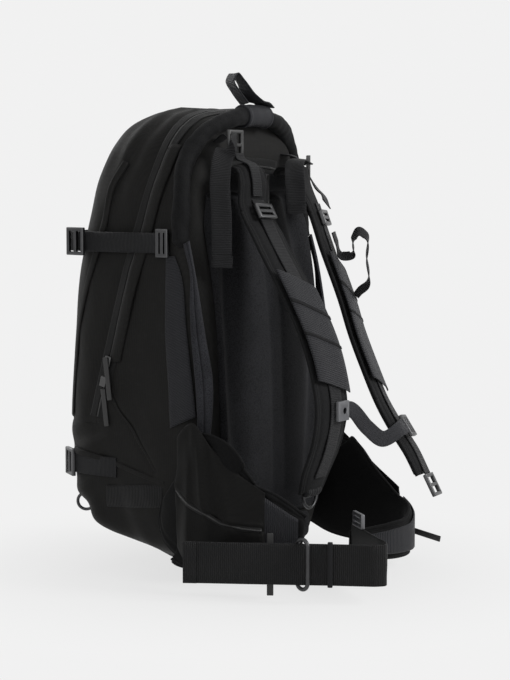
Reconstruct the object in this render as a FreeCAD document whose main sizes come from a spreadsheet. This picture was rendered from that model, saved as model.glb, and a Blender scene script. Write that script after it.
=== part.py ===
import FreeCAD, Part

import math
import os

from FreeCAD import Placement, Rotation, Vector

# Ski backpack standing on its base. Millimetres, +Z up, harness side towards -Y, front towards +Y.
# The origin is the middle of the flat base. "left" is -X, as seen when facing the harness.
# Drawn places are measured from the datum: the back panel's face (y) and its lower edge (z).

SIZES = [
    ("back_setback", 56, "base centre to the back panel's face"),
    ("base_rise", 22, "floor to the datum height"),
    ("body_width", 300, "pack body, across the shoulders"),
    ("body_depth", 238, "pack body, back panel to front"),
    ("body_height", 569, "datum to the crown of the pack"),
    ("wall", 3, "padded fabric wall"),
    ("seat_gap", 0.3, "clearance under a sewn-on or seated piece"),
    ("base_length", 84, "base panel, along Y"),
    ("base_width", 96, "base panel, along X"),
    ("base_thick", 1.7, "base panel"),
    ("foam_thick", 12, "moulded back panel"),
    ("foam_half_width", 112, "half width of the back panel"),
    ("foam_low", 46, "lower edge of the back panel"),
    ("foam_high", 462, "upper edge of the back panel"),
    ("sheet_thick", 1.5, "stiffener sheet inside the back"),
    ("sheet_width", 200, "stiffener sheet"),
    ("stay_width", 14, "aluminium stay"),
    ("stay_thick", 3, "aluminium stay"),
    ("stay_spacing", 110, "between the two stays"),
    ("sleeve_width", 180, "hydration sleeve"),
    ("sleeve_thick", 2, "hydration sleeve and tool sleeve fabric"),
    ("tool_width", 150, "tool sleeve in the front panel"),
    ("roll_radius", 12, "padded rim along the top edge"),
    ("grip_half_length", 27, "sleeve on the middle of the rim"),
    ("grip_thick", 1.6, "sleeve on the rim"),
    ("panel_low", 172, "lower edge of the opening front panel"),
    ("split_depth", 75, "zip line behind the crown, at the crown's front edge"),
    ("split_slope", 0.27, "lean of the zip line"),
    ("zip_tape_width", 11, "zip tape, each side of the seam"),
    ("trim_thick", 1.6, "sewn-on strips and tapes"),
    ("web_thick", 1.8, "webbing"),
    ("web_narrow", 25, "compression and tail webbing"),
    ("web_lifter", 20, "load lifter webbing"),
    ("web_wide", 50, "hip belt webbing"),
    ("belt_web_thick", 2.2, "hip belt webbing"),
    ("pad_thick", 12, "shoulder pad"),
    ("pad_width", 72, "shoulder pad at its widest"),
    ("pivot_depth", 16, "shoulder pad root, in front of the datum"),
    ("pivot_height", 484, "shoulder pad root"),
    ("yoke_width", 190, "padded plate that carries the shoulder pads"),
    ("yoke_height", 24, "padded plate that carries the shoulder pads"),
    ("sternum_width", 20, "sternum strap webbing"),
    ("wing_thick", 13, "hip belt wing"),
    ("wing_reach", 157.5, "hip belt wing at its root, out from the middle of the pack"),
    ("pocket_thick", 14, "hip belt pocket"),
    ("ski_strap_height", 118, "buckled ski strap, middle of its webbing"),
    ("sternum_plate", 24, "plate of the sternum strap, each way"),
    ("sternum_gap", 4, "sternum lock, off the right pad's webbing"),
    ("belt_low", 0, "lower edge of the belt webbing"),
    ("buckle_thick", 5, "ladder locks"),
    ("buckle_bar", 4.5, "bars and rails of the ladder locks"),
    ("lock_height", 30, "ladder lock on 25 mm webbing"),
    ("lifter_lock_height", 38, "ladder lock of a load lifter"),
    ("sternum_lock_height", 26, "ladder lock of the sternum strap"),
    ("slide_height", 20, "tri-glide on a shoulder strap"),
    ("hook_height", 18, "hooks of the compression straps and the belt"),
    ("ring_wire", 4, "D ring wire"),
    ("ring_span", 30, "D ring, along its bar"),
    ("link_wire", 5, "belt link bar"),
    ("link_length", 60, "belt link, between the centres of its ends' bars"),
    ("link_width", 18, "belt link, between the centres of its rails"),
    ("slider_length", 13, "zip slider"),
    ("slider_width", 9, "zip slider"),
    ("slider_thick", 3.4, "zip slider"),
    ("puller_width", 7, "zip puller"),
    ("puller_thick", 2, "zip puller"),
    ("compression_height", 401, "compression strap centre line"),
    ("strap_reach", 149.6, "compression strap, out from the middle of the pack"),
]

DOC = FreeCAD.newDocument("ski_backpack")
SHEET = DOC.addObject("Spreadsheet::Sheet", "sizes")
for row, (alias, value, note) in enumerate(SIZES, start=1):
    SHEET.set("A%d" % row, note)
    SHEET.set("B%d" % row, str(value))
    SHEET.setAlias("B%d" % row, alias)
DOC.recompute()

SIDES = (("left", -1), ("right", 1))
NODES = []


def size(alias):
    """A driving dimension from the sheet, in millimetres."""
    return float(SHEET.get(alias))


def pt(x, y, z):
    """A drawn place, measured from the datum, in the part's own frame."""
    return Vector(x, y - size("back_setback"), z + size("base_rise"))


def keep(obj, label):
    """Names an object as one of the sub-parts that are written out."""
    obj.Label = label
    NODES.append(obj)
    return obj


def shape_part(label, shape):
    """A sub-part whose curved shape is worked out here from the sheet's sizes."""
    obj = DOC.addObject("Part::Feature", label + "_shape")
    obj.Shape = shape
    return keep(obj, label)


# --- profiles -------------------------------------------------------------------------------

def spline(points):
    curve = Part.BSplineCurve()
    curve.interpolate(points)
    return curve.toShape()


def polygon_prism(points, sweep):
    """A straight-sided solid on the closed outline through points."""
    return Part.Face(Part.makePolygon(points + points[:1])).extrude(sweep)


def offset_lines(points, widths):
    """Both edges of a band of the given widths about a line of 2-D points."""
    low, high = [], []
    for i, (a, b) in enumerate(points):
        a0, b0 = points[max(i - 1, 0)]
        a1, b1 = points[min(i + 1, len(points) - 1)]
        run = math.hypot(a1 - a0, b1 - b0)
        na, nb = -(b1 - b0) / run, (a1 - a0) / run
        half = widths[i] / 2
        low.append((a - na * half, b - nb * half))
        high.append((a + na * half, b + nb * half))
    return low, high


def band_prism(points, width, lay, sweep):
    """A band about a smooth 2-D line, laid in space by lay and swept straight."""
    widths = width if isinstance(width, list) else [width] * len(points)
    low, high = offset_lines(points, widths)
    low = [lay(a, b) for a, b in low]
    high = [lay(a, b) for a, b in high]
    edges = [spline(low), Part.makeLine(low[-1], high[-1]), spline(high[::-1]), Part.makeLine(high[0], low[0])]
    return Part.Face(Part.Wire(edges)).extrude(sweep)


REACH = 400  # longer than half of any piece, for straight sweeps that are trimmed afterwards


def plan_band(points, width, low, high):
    """A band drawn from above (x, y), standing from low to high."""
    return band_prism(points, width, lambda x, y: pt(x, y, low), Vector(0, 0, high - low))


def box(low, high):
    """A block between two drawn corners."""
    corner = pt(min(low[0], high[0]), min(low[1], high[1]), min(low[2], high[2]))
    return Part.makeBox(abs(high[0] - low[0]), abs(high[1] - low[1]), abs(high[2] - low[2]), corner)


def ribbon(stations, width, thickness):
    """A band in free space through stations of a centre and a direction for its width."""
    widths = width if isinstance(width, list) else [width] * len(stations)
    wires = []
    for i, (centre, across) in enumerate(stations):
        before = stations[max(i - 1, 0)][0]
        after = stations[min(i + 1, len(stations) - 1)][0]
        along = (after - before).normalize()
        across = Vector(*across)
        across = (across - along * along.dot(across)).normalize()
        out = along.cross(across) * (thickness / 2)
        across = across * (widths[i] / 2)
        corners = [centre - across - out, centre + across - out, centre + across + out, centre - across + out]
        wires.append(Part.makePolygon(corners + corners[:1]))
    return Part.makeLoft(wires, True, True)


# --- pack body ------------------------------------------------------------------------------
# Each rib is a rounded rectangle that leans from the harness side to the front:
# harness y, harness z, front y, front z, half width (shares of the body's depth, height and half
# width), corner radius on the harness side and at the front, and how far the foam is let in.

RIBS = [
    (0.030, None, 0.450, None, 0.370, 26, 30, 0.0),
    (0.012, -0.014, 0.640, 0.026, 0.640, 36, 46, 0.4),
    (0.018, 0.026, 0.845, 0.073, 0.910, 34, 54, 1.0),
    (0.000, 0.091, 0.958, 0.132, 0.973, 30, 56, 1.0),
    (-0.008, 0.211, 0.998, 0.239, 1.0, 30, 58, 1.0),
    (0.000, 0.386, 0.996, 0.405, 1.0, 30, 58, 1.0),
    (0.025, 0.563, 0.971, 0.576, 0.987, 30, 58, 1.0),
    (0.084, 0.721, 0.922, 0.742, 0.948, 30, 58, 1.0),
    (0.151, 0.844, 0.836, 0.874, 0.875, 30, 58, 0.6),
    (0.185, 0.925, 0.718, 0.948, 0.765, 28, 52, 0.0),
    (0.200, 0.968, 0.590, 0.988, 0.590, 26, 42, 0.0),
    (0.240, 0.986, 0.505, 1.002, 0.380, 20, 28, 0.0),
]


def rib_wire(rib, grow, foam, lift):
    """One rib, grown outwards, with its harness side let in for the foam."""
    y0, z0, y1, z1, half, r_back, r_front, share = rib
    base = size("base_thick") + size("seat_gap") - size("base_rise")
    high = size("body_height")
    y0 = y0 * size("body_depth") + foam * share
    y1 = y1 * size("body_depth")
    z0 = (base if z0 is None else z0 * high) + lift
    z1 = (base if z1 is None else z1 * high) + lift
    half = half * size("body_width") / 2 + grow
    run = math.hypot(y1 - y0, z1 - z0)
    dy, dz = (y1 - y0) / run, (z1 - z0) / run
    low, top = -grow, run + grow
    rb, rf = r_back + grow, r_front + grow

    def at(x, along):
        return pt(x, y0 + dy * along, z0 + dz * along)

    slant = math.sqrt(0.5)
    edges = []
    corners = [(half - rb, low + rb, rb, 1, -1), (half - rf, top - rf, rf, 1, 1),
               (rf - half, top - rf, rf, -1, 1), (rb - half, low + rb, rb, -1, -1)]
    last = at(rb - half, low)
    for x, along, r, sx, sa in corners:
        first = at(x, along + sa * r) if sx * sa < 0 else at(x + sx * r, along)
        final = at(x + sx * r, along) if sx * sa < 0 else at(x, along + sa * r)
        middle = at(x + sx * r * slant, along + sa * r * slant)
        edges.append(Part.makeLine(last, first))
        edges.append(Part.Arc(first, middle, final).toShape())
        last = final
    return Part.Wire(edges)


def body_solid(grow, foam):
    """The pack body's outer form, grown outwards by grow and let in behind the foam."""
    wires = []
    for i, rib in enumerate(RIBS):
        lift = -grow if i == 0 else grow if i == len(RIBS) - 1 else 0
        wires.append(rib_wire(rib, grow, foam, lift))
    return Part.makeLoft(wires, True, False)


def split_y(z):
    """The zip line in the side view."""
    return size("split_depth") + (0.932 * size("body_height") - z) * size("split_slope")


def split_prism(shift):
    """Everything in front of the zip line and above the panel's lower edge, moved inwards."""
    low = size("panel_low") + shift
    high = size("body_height") + 60
    outline = [(split_y(low) + shift, low), (REACH, low), (REACH, high), (split_y(high) + shift, high)]
    return polygon_prism([pt(-REACH, y, z) for y, z in outline], Vector(2 * REACH, 0, 0))


OUTER = body_solid(0, 0)
TUB = body_solid(0, size("foam_thick"))
CLEAR = body_solid(size("seat_gap"), size("foam_thick"))
TRIM = body_solid(size("seat_gap") + size("trim_thick"), size("foam_thick"))
INNER = body_solid(-size("wall"), size("foam_thick"))


def landing(start, heading):
    """Where a level line from a drawn place inside the pack comes out of the body."""
    inside = pt(*start)
    line = Part.makeLine(inside, inside + Vector(heading[0], heading[1], 0) * REACH)
    return max((v.Point for v in line.common(CLEAR).Vertexes), key=lambda point: (point - inside).Length)


def body_parts():
    wall = TUB.cut(INNER)
    shape_part("main_shell", wall.cut(split_prism(0)))
    shape_part("front_panel", wall.common(split_prism(size("seat_gap"))))


def base_panel():
    plate = DOC.addObject("Part::Box", "base_plate")
    plate.setExpression("Length", "sizes.base_width")
    plate.setExpression("Width", "sizes.base_length")
    plate.setExpression("Height", "sizes.base_thick")
    plate.setExpression("Placement.Base.x", "-sizes.base_width / 2")
    plate.setExpression("Placement.Base.y", "-sizes.base_length / 2")
    keep(plate, "base_panel")


def back_panel():
    half = size("foam_half_width")
    room = box((-half, -60, size("foam_low")), (half, 60, size("foam_high")))
    shape_part("back_panel", room.common(OUTER).cut(CLEAR))


def skin(region, under=None, over=None):
    """A strip of even thickness that lies on the body inside the region."""
    return region.common(over or TRIM).cut(under or CLEAR)


def side_region(outline, inner=100):
    """Both sides of the pack inside a side-view outline."""
    prism = polygon_prism([pt(-REACH, y, z) for y, z in outline], Vector(2 * REACH, 0, 0))
    return prism.cut(box((-inner, -REACH, -REACH), (inner, REACH, 2 * REACH)))


def side_trims():
    edge = [(29.5, 178), (31.5, 300), (40, 384), (30, 384), (13, 300), (12, 178)]
    rib = [(30, 190), (32, 300), (40.5, 384), (52, 384), (62, 300), (62, 178)]
    beside = size("foam_half_width") + size("seat_gap")
    shape_part("edge_strips", skin(side_region(edge, beside)))
    shape_part("side_strips", skin(side_region(rib, beside)))


def zip_tapes():
    """The fixed tape edges the shell; the panel's own tape swings with it."""
    wide = size("zip_tape_width")
    gap = size("seat_gap")
    fixed = split_prism(-wide).cut(split_prism(0))
    swinging = split_prism(gap).cut(split_prism(gap + wide))
    high = size("body_height") * 0.975
    room = box((-REACH, -REACH, 0), (REACH, split_y(size("panel_low")) + 1, high))
    shape_part("zip_tape", skin(fixed.common(room)))
    shape_part("panel_zip_tape", skin(swinging.common(room)))


# --- inside the pack ------------------------------------------------------------------------

def lining(depth, thick, region):
    """A layer against the inside of the back wall, starting depth inside the outer form."""
    return region.common(body_solid(-depth, size("foam_thick"))).cut(body_solid(-depth - thick, size("foam_thick")))


def back_room(half, low, high, middle=0):
    """The space along the inside of the back wall."""
    return box((middle - half, -60, low), (middle + half, 76, high))


def inside_parts():
    gap = size("seat_gap")
    depth = size("wall") + gap
    shape_part("frame_sheet", lining(depth, size("sheet_thick"), back_room(size("sheet_width") / 2, 45, 470)))
    depth += size("sheet_thick") + gap
    stays = [lining(depth, size("stay_thick"), back_room(size("stay_width") / 2, 55, 460, side * size("stay_spacing") / 2))
             for _, side in SIDES]
    shape_part("frame_stays", Part.makeCompound(stays))
    depth += size("stay_thick") + gap
    shape_part("hydration_sleeve", lining(depth, size("sleeve_thick"), back_room(size("sleeve_width") / 2, 70, 420)))
    half = size("tool_width") / 2
    room = box((-half, 150, 200), (half, REACH, 500))
    shape_part("tool_sleeve", lining(size("wall") + gap, size("sleeve_thick"), room))


# --- rim, yoke and lumbar pad ---------------------------------------------------------------

def rim_line():
    """The padded rim's middle line, from the left side over the top to the right side."""
    wide = size("body_width") / 2
    high = size("body_height")
    half = [(0.925, 48, 0.694), (0.913, 50, 0.791), (0.827, 53, 0.872), (0.653, 47, 0.935), (0.367, 37, 0.970)]
    left = [(-x * wide, y, z * high) for x, y, z in half]
    return left + [(0, 33, 0.982 * high)] + [(-x, y, z) for x, y, z in left[::-1]]


def tube(points, radius):
    """A round roll through the points, closed by flat ends."""
    wires = []
    for i, here in enumerate(points):
        before, after = points[max(i - 1, 0)], points[min(i + 1, len(points) - 1)]
        wires.append(Part.Wire(Part.makeCircle(radius, pt(*here), pt(*after) - pt(*before))))
    return Part.makeLoft(wires, True, False)


def rim_parts():
    roll = tube(rim_line(), size("roll_radius")).cut(CLEAR)
    shape_part("rim_roll", max(roll.Solids, key=lambda solid: solid.Volume))
    half = size("grip_half_length")
    room = box((-half, -REACH, 0), (half, REACH, REACH * 2))
    inner = size("roll_radius") + size("seat_gap")
    outer = tube(rim_line(), inner + size("grip_thick"))
    shape_part("rim_sleeve", outer.common(room).cut(tube(rim_line(), inner)).cut(CLEAR))


def yoke_face():
    return size("pivot_depth") + size("pad_thick") / 2 + size("seat_gap")


def harness_pads():
    half = size("yoke_width") / 2
    gap = size("seat_gap")
    low = size("foam_high") + gap
    plate = box((-half, yoke_face(), low), (half, 90, low + size("yoke_height")))
    shape_part("shoulder_yoke", plate.cut(CLEAR).Solids[0])
    room = box((-92, -60, 6), (92, 40, size("foam_low") - gap))
    shape_part("lumbar_pad", room.common(OUTER).cut(CLEAR))


# --- webbing and loops on the shell ---------------------------------------------------------

# The ski strap's line, as shares of the body's half width and depth.
SKI_STRAP = [(0.997, 0.588), (0.99, 0.714), (0.96, 0.832), (0.893, 0.933), (0.787, 0.987), (0.64, 1)]


def mirror_line(line, side):
    return [(side * x, y) for x, y in line]


def ski_line(side):
    return [(side * x * size("body_width") / 2, y * size("body_depth")) for x, y in SKI_STRAP]


def on_band(line, i, lift):
    """A place lift outside a standing band's middle line, and the yaw that faces a lock along it."""
    (x0, y0), (x1, y1) = line[i - 1], line[i + 1]
    run = math.hypot(x1 - x0, y1 - y0)
    nx, ny = (y1 - y0) / run, -(x1 - x0) / run
    if nx * line[0][0] < 0:
        nx, ny = -nx, -ny
    x, y = line[i]
    return (x + nx * lift, y + ny * lift), math.degrees(math.atan2(y1 - y0, x1 - x0))


def upright(yaw):
    """Stands a lock on its side, so that webbing at this yaw runs through it level."""
    return Rotation(Vector(0, 0, 1), yaw).multiply(Rotation(Vector(0, 1, 0), 90))


def side_webbing():
    band = [(70, 70), (70, 95), (156, 92), (156, 67)]
    shape_part("side_bands", skin(side_region(band)))
    flap = [(62, 98), (62, 112), (150, 136), (212, 150), (212, 126), (150, 106)]
    flaps = skin(side_region(flap)).Solids
    low = size("ski_strap_height") - size("web_narrow") / 2
    for _, side in SIDES:
        band = plan_band(ski_line(side), size("web_thick"), low, low + size("web_narrow")).cut(CLEAR)
        flaps.append(max(band.Solids, key=lambda solid: solid.Volume))
    shape_part("ski_straps", Part.makeCompound(flaps))
    tab = [(61.5, 389), (61.5, 413), (78, 413), (78, 389)]
    shape_part("strap_anchors", skin(side_region(tab)))
    loops = []
    for _, side in SIDES:
        out = Vector(side * 0.545, 0.839, 0)
        place = landing((side * 50, 140, 62), (out.x, out.y)) + out * 6
        ring = Part.makeTorus(11, 2, place, Vector(out.y, -out.x, 0))
        loops.append(ring.cut(CLEAR).Solids[0])
    shape_part("ski_loops", Part.makeCompound(loops))


def haul_loop():
    """A loop of webbing over the grip sleeve; it turns about the rim's own middle line."""
    _, middle, crown = rim_line()[5]
    sleeve = crown + size("roll_radius") + 2 * size("seat_gap") + size("grip_thick")
    line = [(-20, 0.2), (-27, 14), (-24, 27), (-8, 32), (8, 24), (20, 11), (25, 0.2)]
    line = [(x, sleeve + rise) for x, rise in line]
    loop = band_prism(line, size("web_thick"), lambda x, z: pt(x, middle - size("web_narrow") / 2, z),
                      Vector(0, size("web_narrow"), 0))
    shape_part("haul_loop", loop)


# --- ladder locks ---------------------------------------------------------------------------

def ladder_lock(name, webbing, height, centre, turn):
    """A frame with two slots, sized to its webbing; returns the cut, placed at centre."""
    frame = DOC.addObject("Part::Box", name + "_frame")
    frame.setExpression("Length", "sizes.%s + 2 * sizes.buckle_bar + 1" % webbing)
    frame.setExpression("Width", "sizes.buckle_thick")
    frame.setExpression("Height", "sizes." + height)
    slots = []
    for k in (0, 1):
        slot = DOC.addObject("Part::Box", "%s_slot_%d" % (name, k))
        slot.setExpression("Length", "sizes.%s + 1" % webbing)
        slot.setExpression("Width", "sizes.buckle_thick * 3")
        slot.setExpression("Height", "(sizes.%s - 3 * sizes.buckle_bar) / 2" % height)
        slot.setExpression("Placement.Base.x", "sizes.buckle_bar")
        slot.setExpression("Placement.Base.y", "-sizes.buckle_thick")
        slot.setExpression("Placement.Base.z", "sizes.buckle_bar + %d * (sizes.%s - sizes.buckle_bar) / 2" % (k, height))
        slots.append(slot)
    windows = DOC.addObject("Part::Fuse", name + "_windows")
    windows.Base, windows.Tool = slots
    lock = DOC.addObject("Part::Cut", name)
    lock.Base, lock.Tool = frame, windows
    DOC.recompute()
    wide = frame.Length.Value
    middle = Vector(wide / 2, size("buckle_thick") / 2, size(height) / 2)
    lock.Placement = Placement(centre - turn.multVec(middle), turn)
    return lock


def group(label, members):
    """Several like solids in one named node."""
    bundle = DOC.addObject("Part::Compound", label + "_group")
    bundle.Links = members
    return keep(bundle, label)


def facing(about_z):
    """Turns a lock that faces the harness side about the upright axis."""
    return Rotation(Vector(0, 0, 1), about_z)


# Lifter lock: middle x, y, z and how far it is turned. The right one hangs lower, edge outwards.
LIFTER_LOCKS = {"left": ((-68, 16, 521), 0), "right": ((97, 11, 490), 33)}


def shell_locks():
    locks = []
    for name, side in SIDES:
        lift = size("web_thick") / 2 + size("seat_gap") + size("buckle_thick") / 2
        (x, y), yaw = on_band(ski_line(side), 3, lift)
        locks.append(ladder_lock("ski_lock_" + name, "web_narrow", "lock_height",
                                 pt(x, y, size("ski_strap_height")), upright(yaw)))
    group("ski_buckles", locks)
    locks = [ladder_lock("lifter_lock_" + name, "web_lifter", "lifter_lock_height", pt(*LIFTER_LOCKS[name][0]),
                         facing(LIFTER_LOCKS[name][1])) for name, _ in SIDES]
    group("lifter_buckles", locks)


def beside_lock(name, lift, rise, along=0):
    """A place in front of the lifter lock (positive lift) or behind it, and its width direction."""
    (x, y, z), turn = LIFTER_LOCKS[name]
    turn = math.radians(turn)
    step = math.copysign(abs(lift) + size("buckle_thick") / 2 + size("seat_gap") + size("web_thick") / 2, lift)
    across = (math.cos(turn), math.sin(turn), 0)
    return (x + math.sin(turn) * step + across[0] * along, y - math.cos(turn) * step + across[1] * along,
            z + rise), across


def webbing(stations, width):
    """Webbing through drawn places, each with the direction of its width."""
    return ribbon([(pt(*place), across) for place, across in stations], width, size("web_thick"))


ANCHOR_ROOTS = {"left": [(-68, 60, 524), (-68, 42, 526)], "right": [(90, 62, 508), (89, 42, 510)]}
TAIL_ENDS = {
    "left": [((-105, 9.5, 506), (1, -0.8, 0)), ((-115, 7, 480), (1, -1.2, 0)), ((-118, 3, 430), (1, -1.4, 0)),
             ((-121, 1, 372), (1, -1.5, 0))],
    "right": [((70, 1, 498.8), (0.1, 1, 0)), ((45, -6, 503), (0, 1, 0)), ((22, -15, 499), (-0.2, 1, 0)),
              ((10, -22, 486), (-0.45, 0.9, 0)), ((6, -26, 462), (-0.545, 0.839, 0)), ((6, -27, 436), (-0.545, 0.839, 0))],
}


def lifter_webbing():
    """Webbing from under the rim to each lifter lock, and the locks' loose tails."""
    for_anchor = []
    for name, side in SIDES:
        roots = [(place, (1, 0, 0)) for place in ANCHOR_ROOTS[name]]
        strip = webbing(roots + [beside_lock(name, -8, 13), beside_lock(name, -0.01, 6)], size("web_lifter"))
        for_anchor.append(max(strip.cut(CLEAR).Solids, key=lambda solid: solid.Volume))
    shape_part("lifter_anchors", Part.makeCompound(for_anchor))
    start = [(beside_lock("left", 1.4, 3.6, -4)[0], (0, 0, 1)), (beside_lock("left", 3, 2, -18)[0], (0.1, -0.2, 1))]
    shape_part("lifter_tail_left", webbing(start + TAIL_ENDS["left"], size("web_narrow")))
    shape_part("lifter_tail_right", webbing(TAIL_ENDS["right"], size("web_narrow")))


# --- front panel ----------------------------------------------------------------------------

def compression_straps():
    """Straps that ride on the front panel and bridge the zip line to the shell's side."""
    z = size("compression_height")
    half = size("web_narrow") / 2
    reach = size("strap_reach")
    path = [(reach, 79), (reach, 120), (reach, 165), (reach - 1, 200), (reach - 8, 218), (reach - 24, 226)]
    for name, side in SIDES:
        line = mirror_line(path, side) + [(side * 96, front_y(96) + 1.4), (side * 66, front_y(66) + 1.4)]
        strap = plan_band(line, 2 * size("web_thick"), z - half, z + half).cut(CLEAR)
        shape_part("compression_strap_" + name, max(strap.Solids, key=lambda solid: solid.Volume))
    locks, hooks = [], []
    for name, side in SIDES:
        lift = size("web_thick") + size("seat_gap") + size("buckle_thick") / 2
        (x, y), yaw = on_band(mirror_line(path, side), 3, lift)
        locks.append(ladder_lock("compression_lock_" + name, "web_narrow", "lock_height", pt(x, y, z), upright(yaw)))
        face = abs(landing((side * 50, 79, z - half), (side, 0)).x) + size("trim_thick") + size("seat_gap")
        place = (side * (face + size("buckle_thick") / 2), 79 - size("hook_height") / 2 - size("seat_gap"), z)
        hooks.append(ladder_lock("compression_hook_" + name, "web_narrow", "hook_height", pt(*place), upright(90)))
    group("compression_buckles", locks)
    group("compression_hooks", hooks)


def front_y(x):
    """The body's front, at the height of the compression straps."""
    return landing((x, 140, size("compression_height")), (0, 1)).y + size("back_setback")


# --- shoulder straps ------------------------------------------------------------------------

# Each station: x, y, z, how far the pad is turned to face outwards, and its share of the full width.
# The first one is the root, on the hinge line of both straps.

PADS = {
    "left": [(-62, size("pivot_depth"), size("pivot_height"), 0, 0.80), (-62, 9, 492, 0, 0.80), (-62, 0, 491, 0, 0.80), (-62, -5, 478, 0, 0.82),
             (-64, -8, 450, 0, 0.88), (-67, -34, 405, 0, 0.96), (-69, -73, 344, 0, 1), (-71, -105, 285, 0, 1),
             (-73, -121, 240, 0, 1), (-75, -128, 200, 0, 1), (-76.5, -122, 160, 0, 0.95), (-78, -107, 120, 0, 0.85),
             (-79, -100, 98, 0, 0.70)],
    "right": [(49, size("pivot_depth"), size("pivot_height"), 0, 0.80), (49, 9, 492, 0, 0.80), (49, 0, 491, 3, 0.80), (49, -7, 476, 9, 0.82),
              (51, -23, 445, 20, 0.90), (54, -43, 390, 22, 0.96), (58.5, -68, 325, 22, 1), (61, -81, 284, 22, 1),
              (64, -97, 243, 22, 1), (67, -117, 198, 22, 0.98), (69, -141, 160, 20, 0.92), (71, -158, 136, 18, 0.85),
              (73, -173, 107, 16, 0.70)],
}


def pad_frame(name, i):
    """Middle, width direction and outward direction of a shoulder pad at a station."""
    places = [pt(x, y, z) for x, y, z, _, _ in PADS[name]]
    turn = math.radians(PADS[name][i][3])
    along = (places[min(i + 1, len(places) - 1)] - places[max(i - 1, 0)]).normalize()
    across = Vector(math.cos(turn), math.sin(turn), 0)
    across = (across - along * along.dot(across)).normalize()
    return places[i], across, across.cross(along) * -1


def on_pad(name, i, lift, aside=0):
    """A place lift outside the pad's face, moved aside along its width."""
    middle, across, out = pad_frame(name, i)
    return middle + out * (size("pad_thick") / 2 + lift) + across * aside


def pad_spot(name, i, share, lift):
    """A place above the pad's straight run after station i, its width direction and its outward direction."""
    first, last = pt(*PADS[name][i][:3]), pt(*PADS[name][i + 1][:3])
    along = (last - first).normalize()
    turn = math.radians(PADS[name][i][3])
    across = Vector(math.cos(turn), math.sin(turn), 0)
    across = (across - along * along.dot(across)).normalize()
    out = along.cross(across)
    return first + (last - first) * share + out * (size("pad_thick") / 2 + lift), across, out


def laid(across, out):
    """Lays a lock on a strap: its width across the strap, its height along it."""
    return Rotation(across, out * -1, across.cross(out * -1), "XYZ")


def strap_ribbon(name, first, last, lift, widths, thickness, past=0):
    """A band on the pad between two stations, lift outside the pad's middle, and past its end."""
    stations = []
    for i in range(first, last):
        middle, across, out = pad_frame(name, i)
        stations.append((middle + out * lift, tuple(across)))
    if past:
        run = (stations[-1][0] - stations[-2][0]).normalize()
        stations.append((stations[-1][0] + run * past, stations[-1][1]))
    return ribbon(stations, widths, thickness)


END_PAST = 2.2  # how far the right strap's webbing runs past its pad, to the lock on its end


def shoulder_straps():
    gap = size("seat_gap")
    web = size("web_thick")
    for name, _ in SIDES:
        count = len(PADS[name])
        widths = [size("pad_width") * station[4] for station in PADS[name]]
        shape_part("shoulder_pad_" + name, strap_ribbon(name, 0, count, 0, widths, size("pad_thick")))
        on_face = size("pad_thick") / 2 + gap + web / 2
        last, past = (count, END_PAST) if name == "right" else (count - 1, 0)
        shape_part("strap_webbing_" + name, strap_ribbon(name, 4, last, on_face, size("web_narrow"), web, past))
        place, across, out = pad_spot(name, 4, 0.35, 2 * gap + web + size("buckle_thick") / 2)
        lock = ladder_lock("strap_lock_" + name, "web_narrow", "slide_height", place, laid(across, out))
        keep(lock, "strap_slide_" + name)


def lifter_tapes():
    """The tapes that bend when the straps swing, from each lifter lock over the pad's top."""
    top = [((-66, y, z), (1, 0, 0)) for y, z in ((9, 504), (1, 500.6), (-7.5, 497), (-13.4, 482), (-15.6, 458))]
    shape_part("lifter_tape_left", webbing([beside_lock("left", 0.01, -10, 2)] + top, size("web_lifter")))
    end = [((97, -2, 466), (0.9, 0.4, 0)), ((94, -14, 456), (0.9, 0.4, 0)), ((84, -25, 446), (0.927, 0.375, 0))]
    shape_part("lifter_tape_right", webbing([beside_lock("right", 0.4, -12)] + end, size("web_lifter")))


def strap_ends():
    """A D ring hangs from the left strap, and a ladder lock from the right one."""
    wire = size("ring_wire") / 2
    drop = wire + size("seat_gap") + 1.2
    bar = DOC.addObject("Part::Cylinder", "d_ring_bar")
    bar.setExpression("Radius", "sizes.ring_wire / 2")
    bar.setExpression("Height", "sizes.ring_span")
    bow = DOC.addObject("Part::Torus", "d_ring_bow")
    bow.setExpression("Radius1", "sizes.ring_span / 2")
    bow.setExpression("Radius2", "sizes.ring_wire / 2")
    bow.Angle3 = 180
    centre = pad_frame("left", len(PADS["left"]) - 1)[0] - Vector(0, 0, drop)
    bar.Placement = Placement(centre - Vector(size("ring_span") / 2, 0, 0), Rotation(Vector(0, 1, 0), 90))
    bow.Placement = Placement(centre, Rotation(Vector(1, 0, 0), -90))
    ring = DOC.addObject("Part::Fuse", "d_ring_wire")
    ring.Base, ring.Tool = bar, bow
    keep(ring, "d_ring")
    foot = len(PADS["right"]) - 1
    lift = size("seat_gap") + size("web_thick") / 2
    end = on_pad("right", foot, lift)
    down = (end - on_pad("right", foot - 1, lift)).normalize()
    _, across, out = pad_frame("right", foot)
    lock = ladder_lock("end_lock", "web_narrow", "lock_height",
                       end + down * (size("lock_height") / 2 + size("seat_gap") + END_PAST), laid(across, out))
    keep(lock, "strap_buckle")


STERNUM_LEFT = 9
STERNUM_RIGHT = 10


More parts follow.
